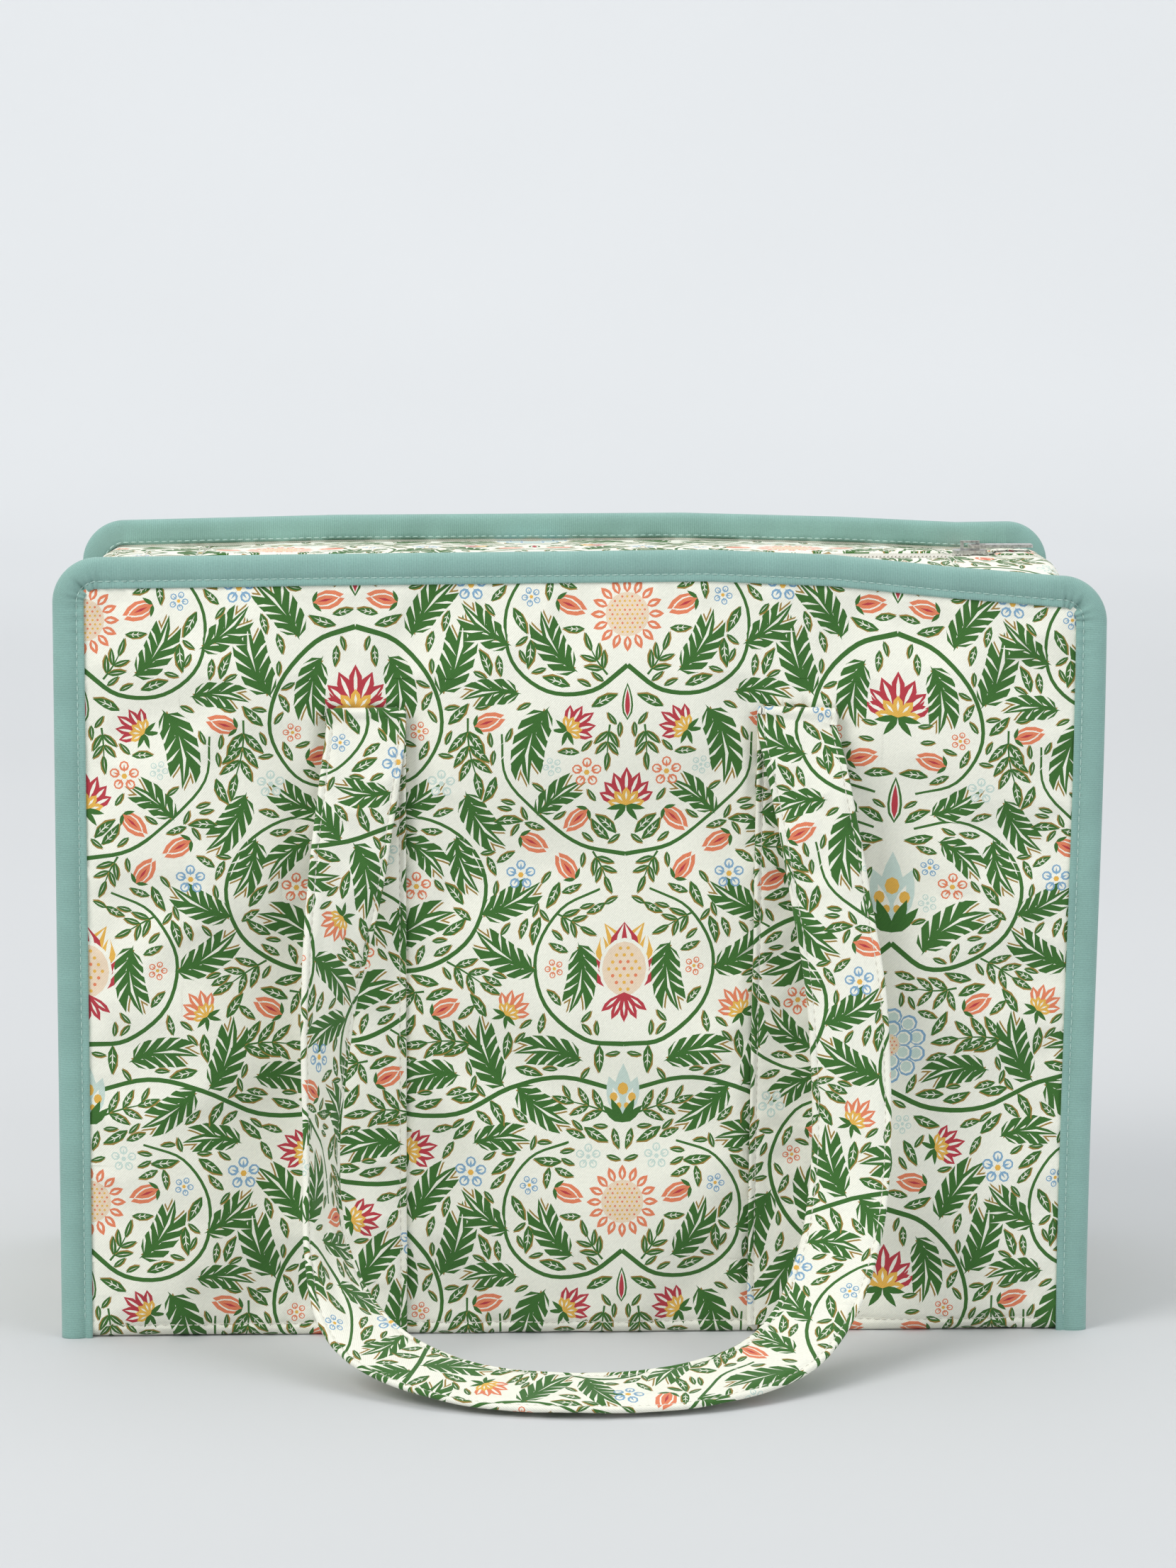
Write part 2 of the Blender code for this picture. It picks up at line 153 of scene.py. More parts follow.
def disc(radius, steps=8, squash=1.0, x=0.0, y=0.0):
    angles = [2 * math.pi * i / steps for i in range(steps)]
    return [(x + radius * math.cos(a), y + radius * squash * math.sin(a)) for a in angles]


def curve(points, steps):
    """A smooth curve through points, as an array."""
    points = np.array(points, float)
    padded = np.concatenate([[2 * points[0] - points[1]], points, [2 * points[-1] - points[-2]]])
    t = (np.arange(steps) / steps)[:, None]
    spans = [0.5 * (2 * b + (c - a) * t + (2 * a - 5 * b + 4 * c - d) * t ** 2
                    + (3 * b - a - 3 * c + d) * t ** 3)
             for a, b, c, d in zip(padded, padded[1:], padded[2:], padded[3:])]
    return np.concatenate(spans + [points[-1:]])


class Drawing:
    """Inked shapes of one tile, in the order they are laid down, and the room that they take."""

    def __init__(self, seed):
        self.shapes = []
        self.taken = {}
        self.rng = random.Random(seed)

    def ink(self, colour, points, angle=0.0, x=0.0, y=0.0, bend=0.0):
        self.shapes.append((INKS.index(colour), turned(bent(points, bend), angle, x, y)))

    def blades(self, place, leans, *layers, size=1.0, curl=0.0):
        """At each lean in turn, the layers of a petal: colour, length, width, fullness, steps, start."""
        x, y, angle = place
        for lean in leans:
            for colour, length, width, fullness, *rest in layers:
                steps, start = rest or (4, 0.0)
                petal = blade(size * length, size * width, fullness, steps, size * start)
                self.ink(colour, petal, angle + lean, x, y, curl * lean)

    def take_row(self, x, y, angle, steps, radius):
        for step in steps:
            self.take(x + math.cos(angle) * step, y + math.sin(angle) * step, radius)

    def cells(self, x, y, radius):
        across = range(int((x - radius) // CELL), int((x + radius) // CELL) + 1)
        up = range(int((y - radius) // CELL), int((y + radius) // CELL) + 1)
        return [(i, j) for i in across for j in up]

    def take(self, x, y, radius):
        for py in (y - REPEAT, y, y + REPEAT):
            for px in (x, -x, 2 * MIRROR - x):
                for cell in self.cells(px, py, radius):
                    self.taken.setdefault(cell, []).append((px, py, radius))

    def clear(self, spots):
        for x, y, radius in spots:
            if x - radius < 0.4 or x + radius > MIRROR - 0.4:
                return False
            for cell in self.cells(x, y, radius):
                for px, py, other in self.taken.get(cell, ()):
                    if math.hypot(px - x, py - y) < radius + other:
                        return False
        return True


def leaf_spots(x, y, angle, length, width):
    spots = turned([(length * t, 0.0) for t in (0.25, 0.5, 0.75)], angle, x, y)
    return [(px, py, width * 0.5) for px, py in spots]


def draw_leaf(d, x, y, angle, length, width, bend=0.0):
    """Green blade with an olive half, a cream midrib and, on a bigger leaf, cream veins."""
    side = 1 if bend >= 0 else -1
    shade = [(px + 0.2, py - side * 0.55) for px, py in blade(length, width, 0.5, 3)]
    d.ink("olive", shade, angle, x, y, bend)
    d.ink("green", blade(length, width, 0.42), angle, x, y, bend)
    d.ink("cream", blade(length * 0.68, width * 0.16, 0.3, 2, length * 0.14), angle, x, y, bend)
    if length > 8.5:
        for at in (0.30, 0.52):
            for flip in (1, -1):
                vein = turned(blade(width * 0.50, 0.42, 0.4, 2), flip * 0.65, length * at, flip * 0.08)
                d.ink("cream", vein, angle, x, y, bend)


def draw_stem(d, points, width, taper):
    """A green stroke through its points that thins towards its end."""
    line = curve(points, 5)
    last = len(line) - 1
    left, right = [], []
    for i, at in enumerate(line):
        run = line[min(i + 1, last)] - line[max(i - 1, 0)]
        run /= np.hypot(*run) or 1.0
        half = width / 2 * (1 - (1 - taper) * i / last)
        left.append((at[0] - run[1] * half, at[1] + run[0] * half))
        right.append((at[0] + run[1] * half, at[1] - run[0] * half))
        d.take(at[0], at[1], width * 0.6)
    d.shapes.append((INKS.index("green"), left + right[::-1]))


def try_sprig(d, x, y, angle, length, pairs, leaf, bend):
    """A bent stem with paired leaves and one at its tip, where there is room for all of it."""
    leaves = []
    for i in range(pairs):
        t = 0.22 + 0.70 * i / pairs
        (px, py), = turned(bent([(length * t, 0.0)], bend), angle, x, y)
        size = leaf * (1 - 0.25 * t)
        for flip in (1, -1):
            leaves.append((px, py, angle + bend * length * t + flip * 0.72, size, size * 0.31))
    (px, py), = turned(bent([(length * 0.92, 0.0)], bend), angle, x, y)
    leaves.append((px, py, angle + bend * length, leaf * 0.95, leaf * 0.28))
    spots = [spot for one in leaves for spot in leaf_spots(*one)[1:]]
    stem = turned(bent([(length * t, 0.0) for t in (0.0, 0.33, 0.66, 1.0)], bend), angle, x, y)
    if not d.clear([(px, py, 0.5) for px, py in stem[1:]] + [(px, py, r + 0.45) for px, py, r in spots]):
        return
    draw_stem(d, stem, 0.9, 0.5)
    for one in leaves:
        draw_leaf(d, *one, bend=d.rng.uniform(-0.03, 0.03))
    for spot in spots:
        d.take(*spot)


def draw_lobed(d, x, y, angle, length, width, bend, lobes=4):
    """A scrolling cut leaf: pointed lobes down each side of a bent midrib and a long tip."""
    parts = [(0.30, 0.0, 0.72, 0.27)]
    for i in range(lobes):
        t = 0.04 + 0.60 * i / lobes
        reach = math.sin(math.pi * (0.30 + 0.55 * i / lobes)) * width / length
        parts += [(t, 0.80, reach * 1.12, 0.27), (t + 0.04, -0.74, reach * 1.08, 0.27)]
    for colour, shift in (("olive", 1.35), ("cream", 0.62), ("green", 0.0)):
        for t, lean, reach, wide in parts:
            side = 1 if lean >= 0 else -1
            lobe = bent(blade(length * reach, width * wide, 0.42), -0.055 * side if lean else 0.0)
            lobe = turned(lobe, lean, length * t + shift * 0.4, -shift * side * 0.8)
            d.ink(colour, lobe, angle, x, y, bend)
    d.ink("green", blade(length * 0.9, width * 0.16, 0.4, 5), angle, x, y, bend)
    for t, lean, reach, _ in parts:
        slit = blade(length * reach * 0.78, width * 0.085, 0.3, 2, length * reach * 0.10)
        d.ink("cream", turned(slit, lean, length * t, 0.0), angle, x, y, bend)
    for t in (0.1, 0.3, 0.5, 0.7, 0.9):
        (px, py), = turned(bent([(length * t, 0.0)], bend), angle, x, y)
        d.take(px, py, width * 0.40 * math.sin(math.pi * (0.18 + 0.72 * t)))


def draw_blossom(d, x, y, size, colour, angle=0.0):
    """A flat blossom: five outlined petals round a yellow eye."""
    for i in range(5):
        a = angle + 2 * math.pi * i / 5
        d.ink(colour, disc(size * 0.30, 8, 0.95, size * 0.58), a, x, y)
        d.ink("cream", disc(size * 0.19, 7, 0.95, size * 0.60), a, x, y)
        d.ink(colour, blade(size * 0.5, size * 0.12, 0.5, 2, size * 0.2), a, x, y)
    d.ink("yellow" if colour != "aqua" else "aqua", disc(size * 0.17, 6), 0, x, y)
    d.take(x, y, size * 0.95)


def draw_tulip(d, x, y, angle, size):
    """A coral cup of three petals with cream lines, on two sepals."""
    place = (x, y, angle)
    d.blades(place, (0.30, -0.30), ("coral", 1.08, 0.46, 0.42), ("cream", 0.66, 0.14, 0.4, 3, 0.18),
             size=size, curl=-0.12)
    d.blades(place, (0.0,), ("cream", 0.94, 0.42, 0.45), ("coral", 0.88, 0.32, 0.45),
             ("crimson", 0.5, 0.09, 0.4, 2, 0.18), size=size)
    d.blades(place, (1.0, -1.0), ("green", 0.42, 0.14, 0.4), size=size)
    d.take_row(x, y, angle, [size * t for t in (0.2, 0.55, 0.9)], size * 0.34)


def draw_fan(d, x, y, angle, size, colour="crimson", petals=7, spread=2.3):
    """A fan of slit petals with a yellow heart, set in green sepals."""
    place = (x, y, angle)
    for i in range(petals):
        lean = spread * (i / (petals - 1) - 0.5)
        reach = 1.0 - 0.22 * abs(lean)
        d.blades(place, (lean,), (colour, reach, 0.30, 0.62),
                 ("cream", reach * 0.55, 0.085, 0.5, 3, reach * 0.34), size=size)
    hearts = [(spread + 0.5) * (i / 4 - 0.5) for i in range(5)]
    d.blades(place, hearts, ("yellow", 0.48, 0.22, 0.6), ("cream", 0.24, 0.06, 0.5, 2, 0.14), size=size)
    d.blades(place, (1.75, -1.75, 2.5, -2.5), ("green", 0.5, 0.15, 0.4), size=size)
    d.take_row(x, y, angle, (size * 0.5,), size * 0.58)
    d.take(x, y, size * 0.42)


def stipple(d, x, y, reach_x, reach_y, pitch, first, second):
    """Rows of dots that fill an ellipse."""
    rows = int(reach_y / pitch)
    for row in range(-rows, rows + 1):
        for column in range(-12, 13):
            px = (column + 0.5 * (row % 2)) * pitch * 1.15
            if (px / reach_x) ** 2 + (row * pitch / reach_y) ** 2 < 1:
                colour = first if (row + column) % 3 else second
                d.ink(colour, disc(pitch * 0.29, 5), 0, x + px, y + row * pitch)


def draw_sunflower(d, x, y, size):
    """A ring of coral petals round a blush disc stippled with yellow and coral."""
    d.blades((x, y, 0.0), [2 * math.pi * i / 16 for i in range(16)], ("coral", 0.42, 0.22, 0.45, 4, 0.56),
             ("cream", 0.24, 0.08, 0.45, 2, 0.62), size=size)
    d.ink("blush", disc(size * 0.58, 20), 0, x, y)
    stipple(d, x, y, size * 0.5, size * 0.5, size * 0.115, "yellow", "coral")
    d.take(x, y, size)


def draw_pomegranate(d, x, y, size):
    """An upright fruit: stippled body, flame petals round it and a crown below."""
    foot = y - size * 0.55
    for side in (1, -1):
        for lean, reach, colour in ((0.15, 1.75, "yellow"), (0.42, 1.70, "crimson"), (0.75, 1.5, "yellow"),
                                    (1.05, 1.25, "crimson")):
            a = math.pi / 2 - side * lean
            curl = side * 0.5 / size
            d.ink(colour, blade(size * reach, size * 0.46, 0.55), a, x, foot, curl)
            d.ink("cream", blade(size * reach * 0.5, size * 0.12, 0.5, 3, size * 0.8), a, x, foot, curl)
    for colour, radius in (("cream", 0.60), ("blush", 0.53)):
        d.ink(colour, disc(size * radius, 16, 1.20), 0, x, y)
    stipple(d, x, y, size * 0.44, size * 0.56, size * 0.16, "yellow", "coral")
    d.blades((x, foot, -math.pi / 2), (-0.9, -0.45, 0.0, 0.45, 0.9), ("crimson", 0.7, 0.20, 0.6),
             ("cream", 0.35, 0.06, 0.5, 2, 0.2), size=size)
    d.take_row(x, y, math.pi / 2, [size * t for t in (-0.9, -0.3, 0.3, 0.9)], size * 0.66)


def draw_cluster(d, x, y, size):
    """A round head of pale scales outlined in blue."""
    for ring, count in ((0.82, 11), (0.48, 7)):
        for i in range(count):
            a = 2 * math.pi * (i + 0.5) / count
            d.ink("blue", disc(size * 0.235, 9, 1.0, size * ring), a, x, y)
            d.ink("cream", disc(size * 0.19, 8, 1.0, size * (ring - 0.02)), a, x, y)
            d.ink("aqua", disc(size * 0.15, 7, 1.0, size * (ring - 0.03)), a, x, y)
    d.ink("blush", disc(size * 0.32, 10), 0, x, y)
    stipple(d, x, y, size * 0.26, size * 0.26, size * 0.10, "coral", "yellow")
    d.take(x, y, size * 1.1)


def draw_bud(d, x, y, size):
    """An upright crimson bud in a green and cream sheath."""
    d.blades((x, y, math.pi / 2), (0.0,), ("green", 1.0, 0.30, 0.4, 5, 0.0),
             ("cream", 0.86, 0.20, 0.4, 5, 0.06), ("crimson", 0.74, 0.13, 0.4, 5, 0.10), size=size)
    d.take_row(x, y, math.pi / 2, [size * t for t in (0.15, 0.5, 0.85)], size * 0.2)


def draw_lily(d, x, y, size):
    """An upright pale bloom with yellow spots, on green sheaths."""
    for lean in (0.0, 0.34, -0.34):
        d.blades((x, y, math.pi / 2), (lean,), ("aqua", 1.0 - abs(lean) * 0.6, 0.34, 0.42, 5, 0.0),
                 ("cream", 0.45, 0.14, 0.4, 3, 0.12), size=size)
    for across, up, radius in ((0, 0.52, 0.10), (0.17, 0.36, 0.075), (0.07, 0.2, 0.05)):
        for side in (1, -1):
            d.ink("yellow", disc(size * radius, 8, 1.2, side * size * across, size * up), 0, x, y)
    d.blades((x, y - size * 0.12, math.pi / 2), (0.5, -0.5, 0.95, -0.95), ("green", 0.5, 0.16, 0.4),
             size=size, curl=-0.02)
    d.take_row(x, y, math.pi / 2, [size * t for t in (0.0, 0.3, 0.6, 0.85)], size * 0.26)


def try_lobed(d, x, y, angle, length, bend):
    """A cut leaf wherever there is room for it."""
    width = length * 0.51
    spots = []
    for t in (0.12, 0.35, 0.6, 0.85, 1.0):
        (px, py), = turned(bent([(length * t, 0.0)], bend), angle, x, y)
        spots.append((px, py, width * 0.44 * math.sin(math.pi * (0.16 + 0.70 * t))))
    if d.clear(spots):
        draw_lobed(d, x, y, angle, length, width, bend, 4 if length > 26 else 3)


def place_scrolls(d):
    for width, taper, *points in (
            (2.2, 0.45, (0, 52), (16, 46), (30, 30), (34, 10), (24, -8), (8, -14)),
            (2.2, 0.45, (0, 160), (14, 150), (30, 152), (46, 164), (52, 184), (44, 202), (26, 212), (8, 208)),
            (2.0, 0.9, (0, 100), (18, 92), (40, 92), (62, 102), (84, 106), (MIRROR, 100)),
            (2.0, 0.45, (MIRROR, 120), (92, 122), (76, 136), (72, 156), (82, 174), (98, 182)),
            (2.0, 0.45, (MIRROR, 36), (94, 26), (76, 26), (62, 38), (60, 58), (70, 74), (86, 80)),
            (1.8, 0.45, (MIRROR, 196), (90, 200), (74, 212), (60, 228), (58, 246))):
        draw_stem(d, points, width, taper)
    for x, y, angle, length, bend in (
            (33, 24, 0.9, 34, 0.022), (22, 47, 1.2, 30, -0.020), (49, 172, 0.2, 28, 0.020),
            (40, 205, -1.6, 26, 0.030), (60, 102, 2.3, 32, -0.024), (64, 103, -0.9, 28, 0.020),
            (73, 150, 2.9, 30, -0.022), (62, 44, 2.7, 26, -0.020), (72, 212, 0.9, 24, -0.020),
            (14, 214, 0.25, 24, 0.025)):
        draw_lobed(d, x, y, angle, length, length * 0.51, bend, 4 if length > 26 else 3)


def place_blooms(d):
    draw_lily(d, 0, 168, 30)
    draw_bud(d, 0, 210, 20)
    draw_fan(d, 0, 18, math.pi / 2, 19, "crimson", 7, 2.4)
    draw_cluster(d, 0, 118, 15)
    draw_bud(d, 0, 64, 17)
    draw_pomegranate(d, MIRROR, 150, 17)
    draw_sunflower(d, MIRROR, 56, 15)
    draw_fan(d, MIRROR, 216, math.pi / 2, 16, "crimson", 7, 2.2)
    draw_lily(d, MIRROR, 90, 22)
    draw_bud(d, MIRROR, 14, 15)
    for x, y, angle in ((30, 132, 0.5), (88, 186, 2.2), (80, 62, -0.4), (47, 12, 0.3)):
        draw_tulip(d, x, y, angle, 12)
    draw_fan(d, 84, 10, 0.6, 13, "crimson", 5, 1.7)
    draw_fan(d, 20, 76, 0.2, 13, "crimson", 5, 1.7)
    draw_fan(d, 60, 132, 0.9, 12, "coral", 5, 1.7)
    for x, y, size, colour in ((46, 68, 7.5, "blue"), (92, 230, 7.0, "coral"), (66, 188, 7.0, "blue"),
                               (24, 184, 7.0, "coral"), (94, 74, 6.0, "aqua"), (34, 226, 6.5, "aqua")):
        draw_blossom(d, x, y, size, colour, 0.3)


def fill_ground(d):
    """Sprigs, then small flowers, then single leaves, wherever the ground is still clear."""
    rng = d.rng

    def spot(edge, low=0.0, high=2 * math.pi):
        return rng.uniform(edge, MIRROR - edge), rng.uniform(0, REPEAT), rng.uniform(low, high)
    for length, tries in ((34, 500), (29, 500), (24, 300)):
        for _ in range(tries):
            try_lobed(d, *spot(4), length, rng.choice((-0.03, 0.03)))
    for _ in range(500):
        x, y, angle = spot(7, -1.2, 4.3)
        if d.clear([(x + math.cos(angle) * 6, y + math.sin(angle) * 6, 6.8), (x, y, 4.5)]):
            if rng.random() < 0.5:
                draw_tulip(d, x, y, angle, 12)
            else:
                draw_fan(d, x, y, angle, 12, rng.choice(("coral", "crimson")), 5, 1.7)
    for length, pairs, leaf, tries in ((40, 4, 16, 1500), (31, 3, 15, 1500), (24, 3, 12.5, 2500),
                                       (17, 2, 10.5, 2500), (12, 2, 8.5, 2500)):
        for _ in range(tries):
            try_sprig(d, *spot(2), length, pairs, leaf, rng.uniform(-0.03, 0.03))
    for size in (5.5, 4.5):
        for _ in range(400):
            x, y = rng.uniform(2, MIRROR - 2), rng.uniform(0, REPEAT)
            if d.clear([(x, y, size + 0.6)]):
                draw_blossom(d, x, y, size, rng.choice(("coral", "aqua", "blue")), rng.uniform(0, 1))
    for length, tries in ((12, 3000), (9, 4000), (6.5, 5000)):
        for _ in range(tries):
            leaf = (*spot(1), length, length * 0.32)
            ground = leaf_spots(*leaf)
            if d.clear([(px, py, r + 0.4) for px, py, r in ground]):
                draw_leaf(d, *leaf, rng.uniform(-0.05, 0.05))
                for taken in ground:
                    d.take(*taken)


def held_to_tile(points):
    """A shape cut off at the mirror lines, so that its reflection meets it there."""
    for edge, keep in ((0.0, 1), (MIRROR, -1)):
        out = []
        for (ax, ay), (bx, by) in zip(points, points[1:] + points[:1]):
            a_in, b_in = (ax - edge) * keep >= 0, (bx - edge) * keep >= 0
            if a_in:
                out.append((ax, ay))
            if a_in != b_in:
                out.append((edge, ay + (by - ay) * (edge - ax) / (bx - ax)))
        points = out
        if len(points) < 3:
            return None
    return points


def compose_print():
    d = Drawing(seed=7)
    place_scrolls(d)
    place_blooms(d)
    fill_ground(d)
    cut = [(ink, held_to_tile(points)) for ink, points in d.shapes]
    return [(ink, np.array(points)) for ink, points in cut if points]


TILE = compose_print()

# ---------------------------------------------------------------- meshes from cloth coordinates


def ease(t):
    t = np.clip(t, 0.0, 1.0)
    return t * t * (3 - 2 * t)


def ripple(u, v, seed, size, octaves=3):
    """Smooth repeatable unevenness between about -1 and 1, with features of about the given size."""
    rng = np.random.default_rng(seed)
    total = np.zeros_like(u, dtype=float)
    for octave in range(octaves):
        for _ in range(3):
            heading, phase = rng.uniform(0, 2 * math.pi, 2)
            wave = 2 * math.pi / (size / 1.7 ** octave) * rng.uniform(0.7, 1.3)
            total += np.sin((u * math.cos(heading) + v * math.sin(heading)) * wave + phase) / 1.6 ** octave
    return total / 5.0


def anticlockwise(points):
    x, y = points[:, 0], points[:, 1]
    area = np.sum(x * np.roll(y, -1) - y * np.roll(x, -1))
    return points if area > 0 else points[::-1]


def shapes_over(low, high, origin):
    """The print's shapes over a stretch of cloth in millimetres, in the order they are laid down."""
    low, high = np.array(low) + origin, np.array(high) + origin
    across = range(math.floor(low[0] / MIRROR), math.ceil(high[0] / MIRROR))
    up = range(math.floor(low[1] / REPEAT) - 1, math.ceil(high[1] / REPEAT) + 1)
    placed = []
    for ink, points in TILE:
        for i in across:
            x = i * MIRROR + (MIRROR - points[:, 0] if i % 2 else points[:, 0])
            if x.max() < low[0] or x.min() > high[0]:
                continue
            for j in up:
                y = points[:, 1] + j * REPEAT
                if y.max() >= low[1] and y.min() <= high[1]:
                    placed.append((ink, anticlockwise(np.column_stack([x, y]) - origin)))
    return placed


def cut_up(verts, edges, faces):
    """Constrained triangles of a flat drawing: points, triangles and the faces that each lies in."""
    points, _, tris, _, _, sources = delaunay_2d_cdt([Vector(p) for p in verts], edges, faces, 0, 1e-4, True)
    return np.array([p[:] for p in points]), tris, sources


def compact(flat, tris):
    """Drops unused points and turns every triangle the same way."""
    used, index = np.unique(np.array(tris).reshape(-1, 3), return_inverse=True)
    flat, index = flat[used], index.reshape(-1, 3)
    a, b, c = flat[index[:, 0]], flat[index[:, 1]], flat[index[:, 2]]
    clockwise = (b - a)[:, 0] * (c - a)[:, 1] - (b - a)[:, 1] * (c - a)[:, 0] < 0
    index[clockwise] = index[clockwise][:, ::-1]
    return flat, index


def inside(points, spots):
    """Which spots lie inside a closed outline."""
    x, y = points[:, 0], points[:, 1]
    after_x, after_y = np.roll(x, -1), np.roll(y, -1)
    spot_x, spot_y = spots[:, :1], spots[:, 1:]
    spans = (y <= spot_y) != (after_y <= spot_y)
    rise = np.where(after_y == y, 1.0, after_y - y)
    crossing = x + (spot_y - y) / rise * (after_x - x)
    return (spans & (crossing > spot_x)).sum(1) % 2 == 1


def paint(box, shapes):
    """The drawing inside a box as triangles with inks, before it is fitted to a piece."""
    verts, faces = [], []
    loops = [np.array(box)] + [points for _, points in shapes]
    for points in loops:
        faces.append(list(range(len(verts), len(verts) + len(points))))
        verts.extend(points)
    inks = [0] + [ink for ink, _ in shapes]
    flat, tris, sources = cut_up(verts, [], faces)
    kept = [k for k, source in enumerate(sources) if 0 in source]
    flat, index = compact(flat, [tris[k] for k in kept])
    centres = flat[index].mean(1)
    pairs = np.array([(row, source) for row, k in enumerate(kept) for source in sources[k]])
    lows, highs = (np.array([getattr(points, end)(0) for points in loops]) for end in ("min", "max"))
    where, source = centres[pairs[:, 0]], pairs[:, 1]
    spilt = np.unique(source[((where < lows[source] - 0.1) | (where > highs[source] + 0.1)).any(1)])
    sound = ~np.isin(source, spilt)
    top = np.zeros(len(index), int)
    np.maximum.at(top, pairs[sound, 0], source[sound])
    for source in spilt[spilt > 0]:
        hit = inside(loops[source], centres)
        top[hit] = np.maximum(top[hit], source)
    return flat, index, np.array(inks)[top]


def colour_edges(flat, index, inks):
    """The edges where two inks meet, without the points that only split a straight run."""
    edges = np.sort(np.concatenate([index[:, [0, 1]], index[:, [1, 2]], index[:, [2, 0]]]), axis=1)
    order = np.lexsort((edges[:, 1], edges[:, 0]))
    face = np.tile(np.arange(len(index)), 3)[order]
    edges = edges[order]
    pair = np.flatnonzero((edges[1:] == edges[:-1]).all(1))
    pair = pair[inks[face[pair]] != inks[face[pair + 1]]]
    links = {}
    for a, b in edges[pair].tolist():
        links.setdefault(a, set()).add(b)
        links.setdefault(b, set()).add(a)
    for point in list(links):
        if len(links[point]) == 2:
            a, b = links[point]
            ahead, behind = flat[b] - flat[point], flat[point] - flat[a]
            turn = abs(ahead[0] * behind[1] - ahead[1] * behind[0])
            size = math.hypot(*ahead) * math.hypot(*behind)
            chord = math.hypot(*(flat[b] - flat[a]))
            if b not in links[a] and turn < max(0.06 * size, FINEST * chord) and ahead @ behind > 0:
                links[a].remove(point)
                links[b].remove(point)
                links[a].add(b)
                links[b].add(a)
                del links[point]
    return [(a, b) for a, around in links.items() for b in around if a < b]


PATCH = 42.0             # a piece is triangulated in squares of about this side, in mm
FINEST = 0.045           # a point this close to its neighbours' line is left out, in mm


def touches(points, low, high):
    return (points.max(0) >= low).all() and (points.min(0) <= high).all()


def fit_patch(outline, box, shapes, spots, lines):
    """One patch of a piece: the drawing's colour edges, the outline, grid points and fold lines."""
    verts = [*outline, *box]
    faces = [list(range(len(outline))), list(range(len(outline), len(verts)))]
    edges = []
    lookup = None
    if shapes:
        flat, index, inks = paint(box, shapes)
        base = len(verts)
        joined = colour_edges(flat, index, inks)
        used, joined = np.unique(np.array(joined or [(0, 1)]), return_inverse=True)
        edges += [(a + base, b + base) for a, b in joined.reshape(-1, 2).tolist()]
        verts += list(flat[used])
        lookup = BVHTree.FromPolygons([(x, y, 0.0) for x, y in flat], index.tolist())
    for line in lines:
        edges.append((len(verts), len(verts) + 1))
        verts += list(line)
    verts += list(spots)
    flat, tris, sources = cut_up(verts, edges, faces)
    kept = [tri for tri, source in zip(tris, sources) if 0 in source and 1 in source]
    if not kept:
        return np.zeros((0, 2)), np.zeros((0, 3), int), np.zeros(0, int)
    flat, tris = compact(flat, kept)
    if lookup is None:
        return flat, tris, np.zeros(len(tris), int)
    found = [lookup.find_nearest((x, y, 0.0))[2] for x, y in flat[tris].mean(1)]
    return flat, tris, inks[found]


def triangulate_cloth(outline, shapes, spots, lines):
    """A whole piece, worked patch by patch and joined along the patches' edges."""
    low, high = outline.min(0), outline.max(0)
    counts = np.maximum(1, np.ceil((high - low) / PATCH)).astype(int)
    us = np.linspace(low[0] - 0.01, high[0] + 0.01, counts[0] + 1)
    vs = np.linspace(low[1] - 0.01, high[1] + 0.01, counts[1] + 1)
    lows = np.array([points.min(0) for _, points in shapes]).reshape(-1, 2)
    highs = np.array([points.max(0) for _, points in shapes]).reshape(-1, 2)
    lines = [np.array(line[k:k + 2]) for line in lines for k in range(len(line) - 1)]
    flats, tris, inks, start = [], [], [], 0
    for i, j in np.ndindex(*counts):
        a, b = np.array((us[i], vs[j])), np.array((us[i + 1], vs[j + 1]))
        near = np.flatnonzero((highs >= a).all(1) & (lows <= b).all(1))
        inner = spots[((spots > a + 0.4) & (spots < b - 0.4)).all(1)]
        box = [tuple(a), (b[0], a[1]), tuple(b), (a[0], b[1])]
        flat, index, ink = fit_patch(outline, box, [shapes[k] for k in near], inner,
                                     [line for line in lines if touches(line, a, b)])
        flats.append(flat)
        tris.append(index + start)
        inks.append(ink)
        start += len(flat)
    flat, index = np.concatenate(flats), np.concatenate(tris)
    _, first, merged = np.unique(np.round(flat, 3), axis=0, return_index=True, return_inverse=True)
    index = merged.reshape(-1)[index]
    whole = (index[:, 0] != index[:, 1]) & (index[:, 1] != index[:, 2]) & (index[:, 2] != index[:, 0])
    return flat[first], index[whole], np.concatenate(inks)[whole]


def build_mesh(name, co, faces):
    """A mesh object from points and an array of triangles or quads. One that stands for a CAD node
    has the node's name with _look after it."""
    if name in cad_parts:
        name += "_look"
    mesh = bpy.data.meshes.new(name)
    sides = faces.shape[1]
    mesh.vertices.add(len(co))
    mesh.vertices.foreach_set("co", np.asarray(co, np.float32).ravel())
    mesh.loops.add(faces.size)
    mesh.loops.foreach_set("vertex_index", faces.astype(np.int32).ravel())
    mesh.polygons.add(len(faces))
    mesh.polygons.foreach_set("loop_start", np.arange(0, faces.size, sides, dtype=np.int32))
    mesh.polygons.foreach_set("loop_total", np.full(len(faces), sides, np.int32))
    mesh.update(calc_edges=True)
    mesh.validate()
    mesh.polygons.foreach_set("use_smooth", np.ones(len(mesh.polygons), bool))
    obj = bpy.data.objects.new(name, mesh)
    bpy.context.scene.collection.objects.link(obj)
    return obj


def facing(place, flat):
    """Unit normals of a placed cloth, and its points."""
    step = 2e-4
    u, v = flat[:, 0], flat[:, 1]
    along = place(u + step, v) - place(u - step, v)
    up = place(u, v + step) - place(u, v - step)
    normal = np.cross(along, up)
    return normal / np.maximum(np.linalg.norm(normal, axis=1, keepdims=True), 1e-12), place(u, v)


